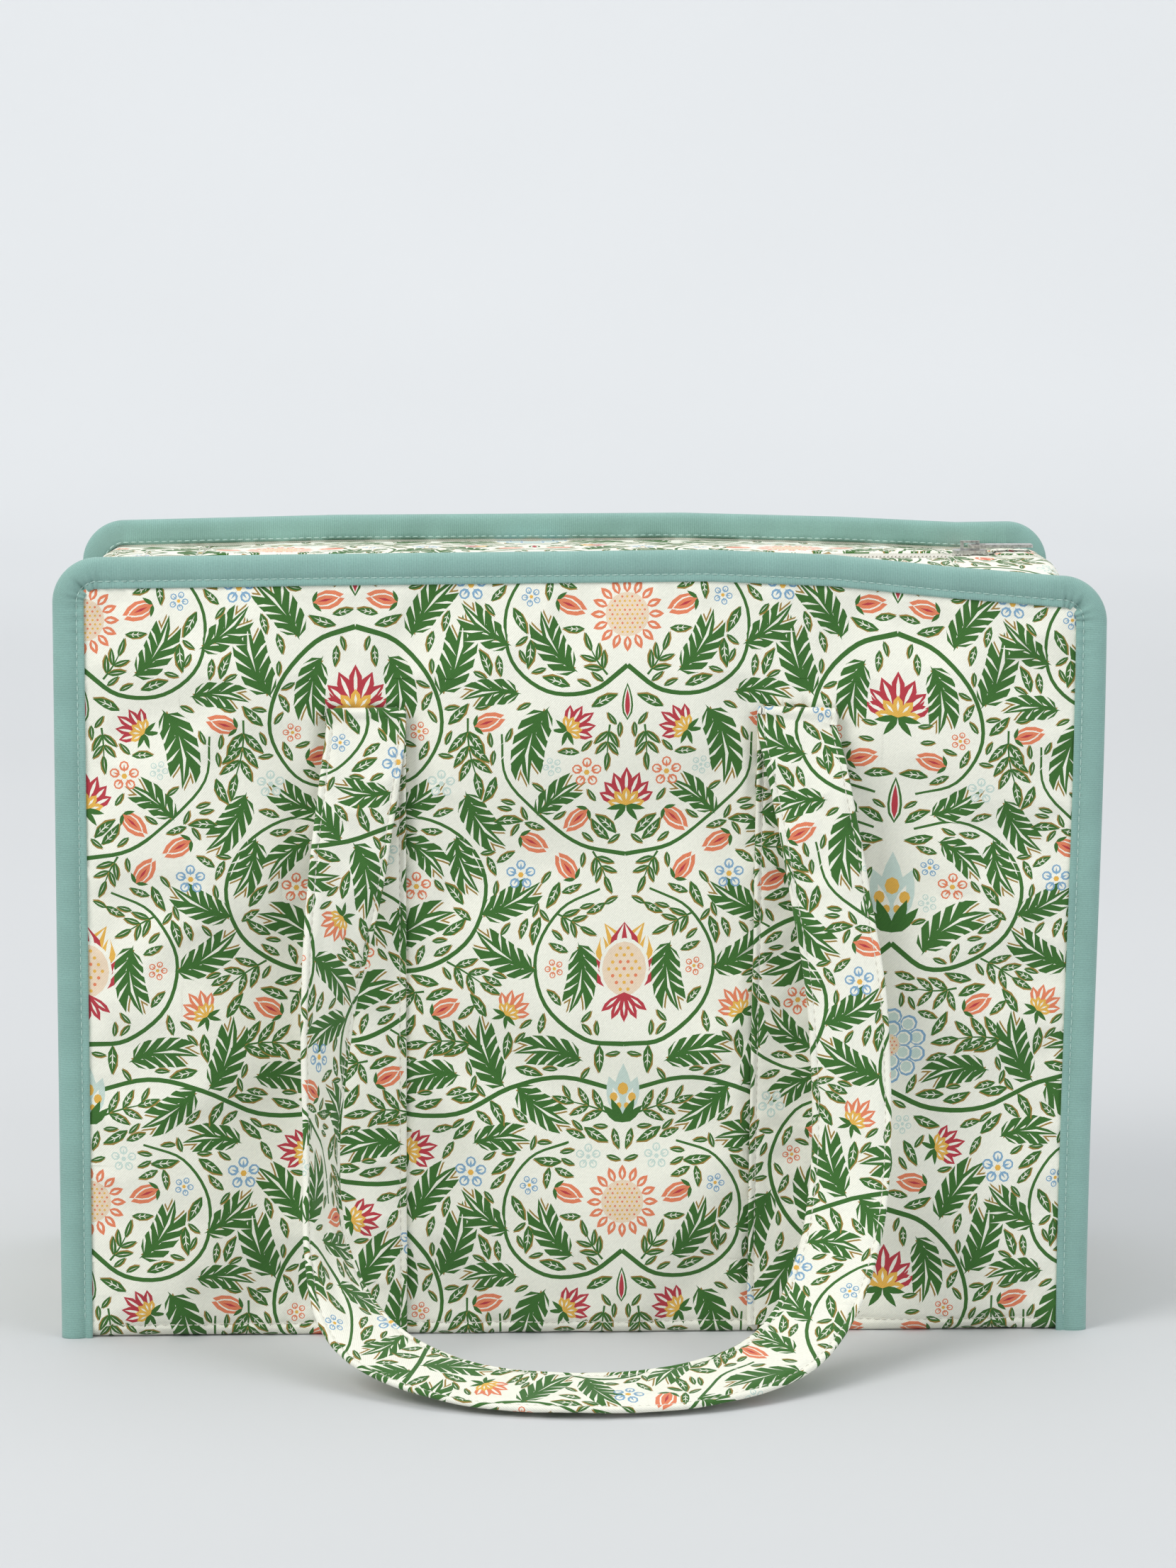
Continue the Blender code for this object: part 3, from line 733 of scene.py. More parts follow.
def rim(faces):
    """Directed edges used by only one triangle."""
    edges = np.concatenate([faces[:, [0, 1]], faces[:, [1, 2]], faces[:, [2, 0]]])
    key = np.sort(edges, axis=1)
    _, first, count = np.unique(key, axis=0, return_index=True, return_counts=True)
    return edges[first[count == 1]]


def printed_cloth(name, outline, place, origin, material, thickness=0.0, grid=6.0, lines=(), plain=False):
    """A piece of the printed cloth. The outline and lines are in cloth millimetres; place() puts cloth
    metres in space; origin shifts the print; a thickness turns the sheet into a closed body."""
    outline = np.array(outline, float)
    low, high = outline.min(0), outline.max(0)
    us = np.arange(low[0] + grid / 2, high[0], grid)
    vs = np.arange(low[1] + grid / 2, high[1], grid)
    spots = np.array([(u, v) for u in us for v in vs])
    shapes = [] if plain else shapes_over(low, high, np.array(origin, float))
    flat, faces, inks = triangulate_cloth(outline, shapes, spots, lines)
    flat = flat * MM
    normal, co = facing(place, flat)
    parts, tints, uv = [faces], [inks], flat
    if thickness:
        edge = rim(faces)
        around, where = np.unique(edge, return_inverse=True)
        where = where.reshape(-1, 2) + len(co)
        parts.append(np.column_stack([edge[:, 0], where[:, 0], edge[:, 1]]))
        parts.append(np.column_stack([edge[:, 1], where[:, 0], where[:, 1]]))
        back, back_faces, _ = triangulate_cloth(outline, [], spots[::2], ())
        back_normal, back_co = facing(place, back * MM)
        parts.append(back_faces[:, ::-1] + len(co) + len(around))
        tints.append(np.zeros(2 * len(edge) + len(back_faces), int))
        co = np.concatenate([co, co[around] - normal[around] * thickness, back_co - back_normal * thickness])
        uv = np.concatenate([uv, uv[around], back * MM])
        normal = np.concatenate([normal, np.zeros((len(co) - len(normal), 3))])
    obj = build_mesh(name, co, np.concatenate(parts))
    finish_cloth(obj, uv, np.concatenate(tints), normal, material)
    return obj


def finish_cloth(obj, uv, inks, normal, material):
    """Gives a cloth mesh its cloth coordinates, the ink of every face, its normals and its material."""
    mesh = obj.data
    corner = np.empty(len(mesh.loops), np.int32)
    mesh.loops.foreach_get("vertex_index", corner)
    layer = mesh.uv_layers.new(name="cloth")
    layer.data.foreach_set("uv", np.asarray(uv, np.float32)[corner].ravel())
    if inks is not None:
        colours = np.array([(*PALETTE[ink], 1.0) for ink in INKS], np.float32)
        attribute = mesh.color_attributes.new("ink", "FLOAT_COLOR", "CORNER")
        attribute.data.foreach_set("color", np.repeat(colours[inks], 3, axis=0).ravel())
    mesh.normals_split_custom_set_from_vertices(np.asarray(normal, np.float32).tolist())
    mesh.materials.append(material)


def rectangle(low_u, high_u, low_v, high_v):
    return [(low_u, low_v), (high_u, low_v), (high_u, high_v), (low_u, high_v)]


def up_lines(us, low_v, high_v, step=5.0):
    """Lines along the cloth at the given distances across, for the mesh to follow."""
    vs = np.linspace(low_v, high_v, max(2, int((high_v - low_v) / step)))
    return [[(u, v) for v in vs] for u in us]


def cross_lines(vs, low_u, high_u, step=5.0):
    us = np.linspace(low_u, high_u, max(2, int((high_u - low_u) / step)))
    return [[(u, v) for u in us] for v in vs]


def swept(name, rows, material, uv=None):
    """A surface through rows of points, each row a closed section."""
    rows = np.asarray(rows)
    count, wide = rows.shape[:2]
    column = np.arange(wide)
    after = (column + 1) % wide
    start = np.arange(count - 1)[:, None] * wide
    faces = np.stack([start + column, start + after, start + wide + after, start + wide + column], -1)
    obj = build_mesh(name, rows.reshape(-1, 3), faces.reshape(-1, 4))
    if uv is not None:
        corner = np.empty(len(obj.data.loops), np.int32)
        obj.data.loops.foreach_get("vertex_index", corner)
        layer = obj.data.uv_layers.new(name="cloth")
        layer.data.foreach_set("uv", np.asarray(uv, np.float32).reshape(-1, 2)[corner].ravel())
    obj.data.materials.append(material)
    face_out(obj)
    return obj


def face_out(obj):
    """Turns the faces of a closed shape outward."""
    body = bmesh.new()
    body.from_mesh(obj.data)
    if body.calc_volume(signed=True) < 0:
        obj.data.flip_normals()
    body.free()


# ---------------------------------------------------------------- stitches


def stitch_row(points, outward, pitch=STITCH_PITCH, length=STITCH, radius=0.00033):
    """Vertices and faces of a row of thread stitches laid along a line of points."""
    points, outward = np.asarray(points), np.asarray(outward)
    run = np.concatenate([[0], np.cumsum(np.linalg.norm(np.diff(points, axis=0), axis=1))])
    starts = np.arange(0.3 * pitch, run[-1] - length, pitch)
    sections, sides = (0.0, 0.5, 1.0), 4
    co, faces = [], []
    for start in starts:
        base = len(co)
        for t in sections:
            at = start + t * length
            middle = np.array([np.interp(at, run, points[:, k]) for k in range(3)])
            up = np.array([np.interp(at, run, outward[:, k]) for k in range(3)])
            ahead = np.array([np.interp(at + 1e-4, run, points[:, k]) for k in range(3)]) - middle
            side = np.cross(up, ahead)
            side /= np.linalg.norm(side) or 1.0
            swell = math.sin(math.pi * (0.08 + 0.84 * t)) ** 0.5 * radius
            middle = middle + up * (math.sin(math.pi * t) * 0.9 - 0.35) * radius
            for k in range(sides):
                a = 2 * math.pi * k / sides
                co.append(middle + (side * math.cos(a) + up * math.sin(a) * 0.8) * swell)
        for row in range(len(sections) - 1):
            for k in range(sides):
                a, b = base + row * sides + k, base + row * sides + (k + 1) % sides
                faces.append((a, b, b + sides, a + sides))
    return co, faces


def topstitch(name, place, paths):
    """Cream stitches along paths on a placed cloth."""
    return stitching(name + "_topstitch", [facing(place, path)[::-1] for path in paths], CREAM_THREAD)


def along(u, v):
    """A path with one coordinate fixed."""
    return np.column_stack(np.broadcast_arrays(u, v))


def on_bag(piece, stands_for=None):
    """Fixes a piece to the bag's body, and hides the part that it replaces."""
    if stands_for:
        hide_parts(stands_for)
    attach(piece, "bag")


def stitching(name, rows, material):
    """One object of several rows of stitches, each row a pair of points and outward directions."""
    co, faces = [], []
    for points, outward in rows:
        more, quads = stitch_row(points, outward)
        faces += [tuple(i + len(co) for i in quad) for quad in quads]
        co += more
    obj = build_mesh(name, np.array(co), np.array(faces))
    obj.data.materials.append(material)
    face_out(obj)
    return obj

# ---------------------------------------------------------------- materials


class Shade:
    """A material's node tree with short ways to add and join nodes."""

    def __init__(self, name, roughness=0.85, metallic=0.0):
        self.material = bpy.data.materials.new(name)
        self.material.use_nodes = True
        self.tree = self.material.node_tree
        self.shader = self.tree.nodes["Principled BSDF"]
        self.shader.inputs["Roughness"].default_value = roughness
        self.shader.inputs["Metallic"].default_value = metallic

    def add(self, kind, settings=(), **sockets):
        node = self.tree.nodes.new(kind)
        for key, value in dict(settings).items():
            setattr(node, key, value)
        for key, value in sockets.items():
            numbered = key[0] == "i" and key[1:].isdigit()
            socket = node.inputs[int(key[1:]) if numbered else key.replace("_", " ")]
            if isinstance(value, bpy.types.NodeSocket):
                self.tree.links.new(value, socket)
            else:
                socket.default_value = value
        return node

    def math(self, operation, a, b=0.0, clamp=False):
        return self.add("ShaderNodeMath", {"operation": operation, "use_clamp": clamp}, i0=a, i1=b).outputs[0]

    def mix(self, blend, factor, a, b):
        node = self.add("ShaderNodeMix", {"data_type": "RGBA", "blend_type": blend}, i0=factor)
        for socket, value in ((node.inputs[6], a), (node.inputs[7], b)):
            if isinstance(value, bpy.types.NodeSocket):
                self.tree.links.new(value, socket)
            else:
                socket.default_value = (*value, 1.0)
        return node.outputs[2]

    def noise(self, where, scale, detail=2.0):
        return self.add("ShaderNodeTexNoise", Vector=where, Scale=scale, Detail=detail).outputs["Fac"]

    def ramp(self, value, low, high, to_low=0.0, to_high=1.0):
        node = self.add("ShaderNodeMapRange", Value=value, From_Min=low, From_Max=high, To_Min=to_low,
                        To_Max=to_high)
        return node.outputs["Result"]

    def tint(self, colour, value, low, high, dark, light):
        """The colour, made darker or lighter by a value."""
        tone = self.ramp(value, low, high, dark, light)
        tone = self.add("ShaderNodeCombineColor", i0=tone, i1=tone, i2=tone).outputs[0]
        return self.mix("MULTIPLY", 1.0, colour, tone)

    def cloth_uv(self):
        return self.add("ShaderNodeUVMap", {"uv_map": "cloth"}).outputs["UV"]

    def place(self):
        return self.add("ShaderNodeTexCoord").outputs["Object"]

    def stripes(self, where, angle, pitch):
        """Smooth 0 to 1 ridges across cloth coordinates, at an angle, one every pitch metres."""
        turned_uv = self.add("ShaderNodeVectorRotate", Vector=where, Angle=angle).outputs[0]
        across = self.add("ShaderNodeSeparateXYZ", Vector=turned_uv).outputs[0]
        wave = self.math("SINE", self.math("MULTIPLY", across, 2 * math.pi / pitch))
        return self.math("ADD", self.math("MULTIPLY", wave, 0.5), 0.5)

    def finish(self, colour, height, depth, strength=1.0):
        """Joins the colour and a bump of the given depth in metres to the shader."""
        if isinstance(colour, bpy.types.NodeSocket):
            self.tree.links.new(colour, self.shader.inputs["Base Color"])
        else:
            self.shader.inputs["Base Color"].default_value = (*colour, 1.0)
        bump = self.add("ShaderNodeBump", Strength=strength, Distance=depth, Height=height)
        self.tree.links.new(bump.outputs["Normal"], self.shader.inputs["Normal"])
        return self.material


def cloth_sheen(shade, weight):
    shade.shader.inputs["Sheen Weight"].default_value = weight
    shade.shader.inputs["Sheen Roughness"].default_value = 0.6
    shade.shader.inputs["Specular IOR Level"].default_value = 0.25


def printed_twill():
    """Cotton twill: diagonal wales with painted light and shade across them, slubs, and ink that lies a
    little unevenly on the threads.
    """
    shade = Shade("printed_twill", 0.86)
    cloth_sheen(shade, 0.12)
    uv = shade.cloth_uv()
    ink = shade.add("ShaderNodeVertexColor", {"layer_name": "ink"}).outputs["Color"]
    wale = shade.stripes(uv, 0.75, 0.00072)
    weft = shade.stripes(uv, 2.25, 0.0005)
    slub = shade.noise(uv, 900.0)
    cloud = shade.noise(uv, 28.0, 3.0)
    # painted light and shade: the ink is darkened in the grooves between the wales and lightened a little on
    # their ridges, by the bump's own ridge height
    colour = shade.tint(ink, wale, 0.0, 1.0, 0.92, 1.04)
    colour = shade.tint(colour, slub, 0.3, 0.7, 0.96, 1.03)
    colour = shade.tint(colour, cloud, 0.3, 0.7, 0.98, 1.02)
    height = shade.math("ADD", shade.math("MULTIPLY", wale, 0.7), shade.math("MULTIPLY", weft, 0.3))
    height = shade.math("ADD", height, shade.math("MULTIPLY", slub, 0.5))
    return shade.finish(colour, height, 0.00012, 0.6)


def ribbed_binding():
    """Grosgrain tape: fine ribs across its length, with painted shade in the valleys between them and painted
    light on their crests.
    """
    shade = Shade("ribbed_binding", 0.78)
    cloth_sheen(shade, 0.25)
    uv = shade.cloth_uv()
    rib = shade.stripes(uv, 0.0, 0.00048)
    cloud = shade.noise(uv, 60.0, 3.0)
    fibre = shade.noise(uv, 1400.0)
    # painted light and shade: dark teal in the rib valleys and light teal on the rib crests, by the rib
    # height that also drives the bump
    colour = shade.mix("MIX", shade.ramp(rib, 0.0, 1.0), (0.205, 0.385, 0.345), (0.335, 0.560, 0.500))
    colour = shade.tint(colour, cloud, 0.3, 0.7, 0.93, 1.04)
    colour = shade.tint(colour, fibre, 0.3, 0.7, 0.92, 1.05)
    return shade.finish(colour, shade.math("ADD", rib, shade.math("MULTIPLY", fibre, 0.5)), 0.00012, 0.7)


def thread(name, colour):
    """Twisted sewing thread, with painted shade in the grooves of its twist."""
    shade = Shade(name, 0.6)
    cloth_sheen(shade, 0.2)
    where = shade.place()
    twist = shade.stripes(where, 0.8, 0.0004)
    # painted shade: the thread is darkened in the grooves of its twist
    tone = shade.tint(colour, twist, 0.0, 1.0, 0.8, 1.0)
    return shade.finish(tone, twist, 0.00005, 0.5)


def plain_weave(name, colour, pitch=0.0005):
    """Plain woven cloth: over-and-under threads with slubs, and painted shade in the gaps between the thread
    crossings.
    """
    shade = Shade(name, 0.88)
    cloth_sheen(shade, 0.1)
    where = shade.cloth_uv()
    warp = shade.stripes(where, 0.0, pitch)
    weft = shade.stripes(where, math.pi / 2, pitch)
    slub = shade.noise(where, 500.0)
    weave = shade.math("MULTIPLY", warp, weft)
    cloud = shade.noise(where, 20.0, 3.0)
    # painted shade: the cloth is darkened in the gaps between thread crossings, by the same weave height as
    # the bump
    tone = shade.tint(colour, weave, 0.0, 1.0, 0.88, 1.0)
    tone = shade.tint(tone, slub, 0.3, 0.7, 0.94, 1.02)
    tone = shade.tint(tone, cloud, 0.3, 0.7, 0.96, 1.02)
    return shade.finish(tone, shade.math("ADD", weave, shade.math("MULTIPLY", slub, 0.6)), 0.00015, 0.6)


def plastic(name, colour, roughness):
    """Moulded plastic with a fine satin grain."""
    shade = Shade(name, roughness)
    where = shade.place()
    fine = shade.noise(where, 1400.0)
    broad = shade.noise(where, 14.0, 3.0)
    tone = shade.tint(colour, broad, 0.3, 0.7, 0.95, 1.03)
    rough = shade.ramp(fine, 0.3, 0.7, roughness - 0.06, roughness + 0.08)
    shade.tree.links.new(rough, shade.shader.inputs["Roughness"])
    return shade.finish(tone, fine, 0.00004, 0.5)


def nickel():
    """Satin nickel with rubbed highlights."""
    shade = Shade("nickel", 0.32, 1.0)
    where = shade.place()
    scratch = shade.noise(where, 900.0, 4.0)
    tone = shade.mix("MIX", shade.ramp(scratch, 0.35, 0.65), (0.50, 0.49, 0.47), (0.72, 0.71, 0.68))
    shade.tree.links.new(shade.ramp(scratch, 0.3, 0.7, 0.24, 0.42), shade.shader.inputs["Roughness"])
    return shade.finish(tone, scratch, 0.00003, 0.4)


CLOTH = printed_twill()
BINDING = ribbed_binding()
LINING = plain_weave("lining_cotton", (0.80, 0.76, 0.63))
TAPE = plain_weave("zip_tape", (0.80, 0.78, 0.68), 0.0007)
CREAM_THREAD = thread("cream_thread", (0.78, 0.76, 0.66))
TEAL_THREAD = thread("teal_thread", (0.50, 0.72, 0.65))
COIL = plastic("zip_coil", (0.78, 0.76, 0.67), 0.40)
TRAY = plastic("tray_plastic", (0.46, 0.66, 0.60), 0.38)
BOARD = plastic("board", (0.30, 0.28, 0.24), 0.6)
METAL = nickel()

# ---------------------------------------------------------------- how the soft bag sits


def slump(x, y):
    """How far the bound top edges have sunk, most at the front right corner."""
    front = np.interp(x, (-0.21, -0.10, 0.05, 0.10, 0.144, 0.19, 0.21),
                      (0.0025, 0.0012, 0.0, 0.0022, 0.0068, 0.0108, 0.0115))
    back = np.interp(x, (-0.21, -0.10, 0.05, 0.12, 0.17, 0.21), (0.003, 0.0005, 0.0, 0.002, 0.0045, 0.0040))
    reach = np.abs(y)
    return np.where(y < 0, front, back) * ease((reach - 0.018) / 0.070)


PUFF_STEP = 0.006        # grid of the cloth simulation


def puff_sheet():
    """A face panel's billow between its seams: slack cloth pushed out from behind and held at the
    binding, the base and the two sewn straps. Returns the bulge on a regular grid."""
    columns, rows = int(0.396 / PUFF_STEP) + 1, int(0.306 / PUFF_STEP) + 1
    x = (np.arange(columns) - (columns - 1) / 2) * PUFF_STEP
    z = np.arange(rows) * PUFF_STEP
    gx, gz = (grid.ravel() for grid in np.meshgrid(x, z))
    held = ease(np.minimum.reduce([(0.198 - np.abs(gx)) / 0.05, gz / 0.05, (0.306 - gz) / 0.04]))
    strap = ease(1.4 - np.abs(np.abs(gx) - STRAP_X) / 0.016) * (gz < FOLD_Z)
    bulge = held * (1 - 0.75 * strap) * (0.0016 + 0.0009 * ripple(gx, gz, 5, 0.19))
    start = np.column_stack([gx, -bulge, gz])
    index = np.arange(columns * rows).reshape(rows, columns)
    quads = np.stack([index[:-1, :-1], index[:-1, 1:], index[1:, 1:], index[1:, :-1]], -1).reshape(-1, 4)
    sheet = build_mesh("puff_sheet", start, quads)
    pins = sheet.vertex_groups.new(name="pins")
    fixed = (np.abs(gx) > x[-1] - 1e-4) | (gz < 1e-4) | (gz > z[-1] - 1e-4)
    seams = (np.abs(np.abs(np.abs(gx) - STRAP_X) - 0.0133) < PUFF_STEP / 2) & (gz < FOLD_Z - 0.01)
    pins.add(np.flatnonzero(fixed | seams).tolist(), 1.0, "REPLACE")
    bulge = -simulate(sheet, "pins")[:, 1]
    return bulge.reshape(rows, columns)


def simulate(sheet, pins, slack=0.012, pressure=0.6, frames=22):
    """Runs a short cloth simulation and returns where the vertices end."""
    cloth = sheet.modifiers.new("cloth", "CLOTH")
    cloth.settings.quality = 6
    cloth.settings.mass = 0.25
    cloth.settings.tension_stiffness = 25
    cloth.settings.compression_stiffness = 25
    cloth.settings.bending_stiffness = 1.5
    cloth.settings.shrink_min = -slack
    cloth.settings.vertex_group_mass = pins
    cloth.settings.use_pressure = True
    cloth.settings.uniform_pressure_force = pressure
    cloth.settings.effector_weights.gravity = 0.0
    cloth.point_cache.frame_end = frames
    scene = bpy.context.scene
    for number in range(1, frames + 1):
        scene.frame_set(number)
    held = sheet.evaluated_get(bpy.context.evaluated_depsgraph_get())
    co = np.empty(len(sheet.data.vertices) * 3)
    held.data.vertices.foreach_get("co", co)
    scene.frame_set(1)
    bpy.data.objects.remove(sheet)
    return co.reshape(-1, 3)


def billow(x, z):
    """The panel's bulge at a place on the face."""
    rows, columns = PUFF.shape
    i = np.clip(x / PUFF_STEP + (columns - 1) / 2, 0, columns - 1.001)
    j = np.clip(z / PUFF_STEP, 0, rows - 1.001)
    i0, j0 = i.astype(int), j.astype(int)
    s, t = i - i0, j - j0
    low = PUFF[j0, i0] * (1 - s) + PUFF[j0, i0 + 1] * s
    high = PUFF[j0 + 1, i0] * (1 - s) + PUFF[j0 + 1, i0 + 1] * s
    return low * (1 - t) + high * t


def lean(x, z):
    """How far the right-hand side stands in towards its foot."""
    return 0.005 * ease((x + 0.15) / 0.36) * (1 - ease(z / 0.30))


def settle(co):
    """Moves points of the crisp bag to where the soft one sits."""
    x, y, z = co[..., 0], co[..., 1], co[..., 2]
    side = np.sign(y)
    reach = np.abs(y)
    near_face = ease((reach - 0.090) / 0.006) * (1 - ease((reach - 0.112) / 0.03))
    high = ease((z - 0.13) / 0.18)
    bulge = billow(x * -side, z) * near_face
    sway = 0.0010 * ripple(x, z, 8, 0.33, 2) * ease(z / 0.06)
    moved = np.array(co, float)
    moved[..., 1] = y + side * bulge + sway * (1 - ease((reach - 0.112) / 0.03))
    moved[..., 0] = x - lean(x, z)
    moved[..., 2] = z - slump(x, y) * high
    return moved


# ---------------------------------------------------------------- panels


def groove(distance, width, depth):
    return depth * np.exp(-(distance / width) ** 2)


TURN = 0.0045                                      # how the panel turns under at the base
BASE_STITCH = 0.0052


def face_place(side):
    """Where the cloth of a face panel lies; side is -1 for the front and 1 for the back."""
    def place(u, v):
        bend = np.clip((TURN - v) / TURN, 0, math.pi / 2)
        under = np.maximum(TURN - v - TURN * math.pi / 2, 0)
        z = np.where(v < TURN, TURN - TURN * np.sin(bend), v)
        y = FACE_Y - TURN * (1 - np.cos(bend)) - under
        ends = 1 - ease((0.0125 - (0.2 - np.abs(u))) / 0.006)
        y = y - groove(v - BASE_STITCH, 0.0011, 0.0005) * ends
        y = y + 0.0006 * ease(1 - np.abs(v - 0.0105) / 0.006) * (0.5 + ripple(u, v, 31, 0.05))
        z = z + 0.0005 * ripple(u, v, 21, 0.07) * ease(1 - v / 0.02)
        edge = np.minimum.reduce([0.1985 - np.abs(u), 0.3065 - v])
        y = y - 0.0008 * (1 - ease(edge / 0.004))
        return settle(np.stack([-side * u, side * y, np.maximum(z, 0.0)], -1))
    return place


def round_top(half, low, high, radius):
    """An outline with two rounded top corners."""
    points = [(-half, low), (half, low)]
    for sign, start in ((1, 0.0), (-1, math.pi / 2)):
        for a in start + np.arange(5) * math.pi / 8:
            x = sign * (half - radius) + radius * math.cos(a)
            points.append((x, high - radius + radius * math.sin(a)))
    return points


def face_panel(side, name, origin):
    lines = cross_lines((-2.6, -1.2, 0.2, 1.6, 3.0, 4.2, 4.7, 5.2, 5.7, 6.2, 8.0, 10.5, 13.0), -199.5, 199.5)
    outline = round_top(200.0, -8.0, 307.5, 9.0)
    place = face_place(side)
    on_bag(printed_cloth(name, outline, place, origin, CLOTH, PANEL_THICK, lines=lines), name)
    on_bag(topstitch(name, place, [along(np.arange(-0.1935, 0.1935, 0.0015), BASE_STITCH)]))


# ---------------------------------------------------------------- binding

BAND = (  # the tape's section: distance in from the bound edge, and height over the face, in mm
    (12.55, -0.35), (12.60, 0.20), (12.35, 0.58), (11.6, 0.74), (10.6, 0.66), (9.95, 0.30), (9.6, 0.16),
    (9.25, 0.30), (8.5, 0.92), (7.0, 1.36), (5.0, 1.50), (3.2, 1.30), (1.7, 0.70), (0.6, -0.30),
    (0.05, -1.60), (0.15, -2.90), (0.9, -4.0), (2.4, -4.7), (5.0, -5.0), (7.8, -4.9), (10.2, -4.9),
    (10.5, -4.4),
)


def bound_edge(inset, step=0.0014):
    """The line of the bound edge, up the left, over the top and down the right, at a distance in."""
    half, top, radius = WIDTH / 2 - inset, HEIGHT - inset, CORNER - inset
    corner = max(radius, 0.0008)
    rise, flat = top - corner, half - corner

    def steps(length):
        return np.arange(int(length / step)) / int(length / step)
    turn = np.arange(30) / 30 * math.pi / 2
    up, over = steps(HEIGHT - CORNER), steps(WIDTH - 2 * CORNER)
    x = [-half + 0 * up, -flat - corner * np.cos(turn), -flat + 2 * flat * over,
         flat + corner * np.sin(turn), half + 0 * up, [half]]
    z = [rise * up, rise + corner * np.sin(turn), top + 0 * over, rise + corner * np.cos(turn),
         rise * (1 - up), [0.0]]
    return np.column_stack([np.concatenate(x), np.concatenate(z)])


def run_along(points):
    return np.concatenate([[0], np.cumsum(np.linalg.norm(np.diff(points, axis=0), axis=1))])


def band_line(side, inset, height):
    """Points along the binding at a distance in from its edge and a height over the face."""
    line = bound_edge(inset)
    run = run_along(bound_edge(0.0))
    swell = 1 + 0.10 * ripple(run, 0 * run, 41 + side, 0.06) * (height > 0.0002)
    x = line[:, 0]
    z = line[:, 1]
    corner = ease(1 - np.abs(np.hypot(np.abs(x) - (WIDTH / 2 - CORNER), z - (HEIGHT - CORNER))) / 0.03)
    pucker = corner * 0.0005 * np.sin(run * 2 * math.pi / 0.0052) * ease((inset - 0.003) / 0.006)
    first = HEIGHT - CORNER + CORNER * math.pi / 4
    second = run[-1] - first
    pinch = groove(run - first, 0.0030, 0.0022) + groove(run - second, 0.0030, 0.0018)
    y = FACE_Y + height * swell + (pucker - pinch * ease((inset - 0.004) / 0.006)) * (height > 0)
    return settle(np.stack([side * x, side * y, z], -1))


def binding(side, name):
    columns = [band_line(side, d * MM, h * MM) for d, h in BAND]
    rows = np.stack(columns, 1)
    run = run_along(bound_edge(0.0))
    around = np.concatenate([[0], np.cumsum(np.hypot(*np.diff(np.array(BAND), axis=0).T))]) * MM
    uv = np.stack(np.broadcast_arrays(run[:, None], around[None, :]), -1)
    rows, uv = rounded_ends(rows, uv)
    on_bag(swept(name, rows, BINDING, uv), name)
    inset = 0.0096                                 # of the stitching, in the dip of BAND
    points = band_line(side, inset, 0.00030)
    outward = np.zeros_like(points)
    outward[:, 1] = side
    back = band_line(side, inset, -0.0049)
    rows = [(points[4:-4], outward[4:-4]), (back[4:-4], -outward[4:-4])]
    on_bag(stitching(name + "_stitches", rows, TEAL_THREAD))


def rounded_ends(rows, uv, depth=0.0009):
    """Closes both ends of a swept section with a soft rounded cap."""
    steps = (0.35, 0.7, 0.9, 1.0)
    caps = []
    for row, ahead, mark in ((rows[0], rows[0] - rows[1], uv[0]), (rows[-1], rows[-1] - rows[-2], uv[-1])):
        direction = ahead.mean(0)
        direction = direction / np.linalg.norm(direction)
        middle = row.mean(0)
        cap = [middle + (row - middle) * max(math.sqrt(1 - t * t), 0.02) + direction * depth * t
               for t in steps]
        caps.append((cap, [mark] * len(steps)))
    (first, first_uv), (last, last_uv) = caps
    return (np.concatenate([first[::-1], rows, last]), np.concatenate([first_uv[::-1], uv, last_uv]))

# ---------------------------------------------------------------- side walls and base


GUSSET_BEND = GUSSET_Z - (HEIGHT - CORNER)         # the wall's turn over the top corner
FOOT = 0.006                                       # and its turn into the base
WALL = GUSSET_Z - GUSSET_BEND - FOOT               # straight part between the two
LID = GUSSET_X - GUSSET_BEND - FLAP_END            # flat part on top, as far as the flap


def wall_path(v):
    """Distance out from the middle and height along a side wall, from the base up and over."""
    foot, bend = FOOT * math.pi / 2, GUSSET_BEND * math.pi / 2
    a = np.clip(v / FOOT, 0, math.pi / 2)
    x = GUSSET_X - FOOT + FOOT * np.sin(a) + np.minimum(v, 0)
    z = FOOT - FOOT * np.cos(a)
    z = z + np.clip(v - foot, 0, WALL)
    b = np.clip((v - foot - WALL) / GUSSET_BEND, 0, math.pi / 2)
    x = x - GUSSET_BEND * (1 - np.cos(b)) - np.maximum(v - foot - WALL - bend, 0)
    return x, z + GUSSET_BEND * np.sin(b)


def wall_place(side):
    def place(u, v):
        x, z = wall_path(v)
        middle = ease(1 - np.abs(u) / 0.094)
        tall = ease(z / 0.07) * ease((GUSSET_Z - 0.02 - z) / 0.09)
        x = x + middle * tall * (0.0016 + 0.0014 * ripple(u, v, 51 + side, 0.16))
        x = x + groove(np.abs(u) - 0.0925, 0.0016, -0.0004)
        dip = 0.0012 * ease((np.abs(u) - 0.05) / 0.04) * ease((v - WALL) / 0.03)
        end = groove(v - (FOOT + GUSSET_BEND) * math.pi / 2 - WALL - LID + 0.0022, 0.0009, 0.0004)
        return settle(np.stack([side * x, side * u, z - dip - end], -1))
    return place


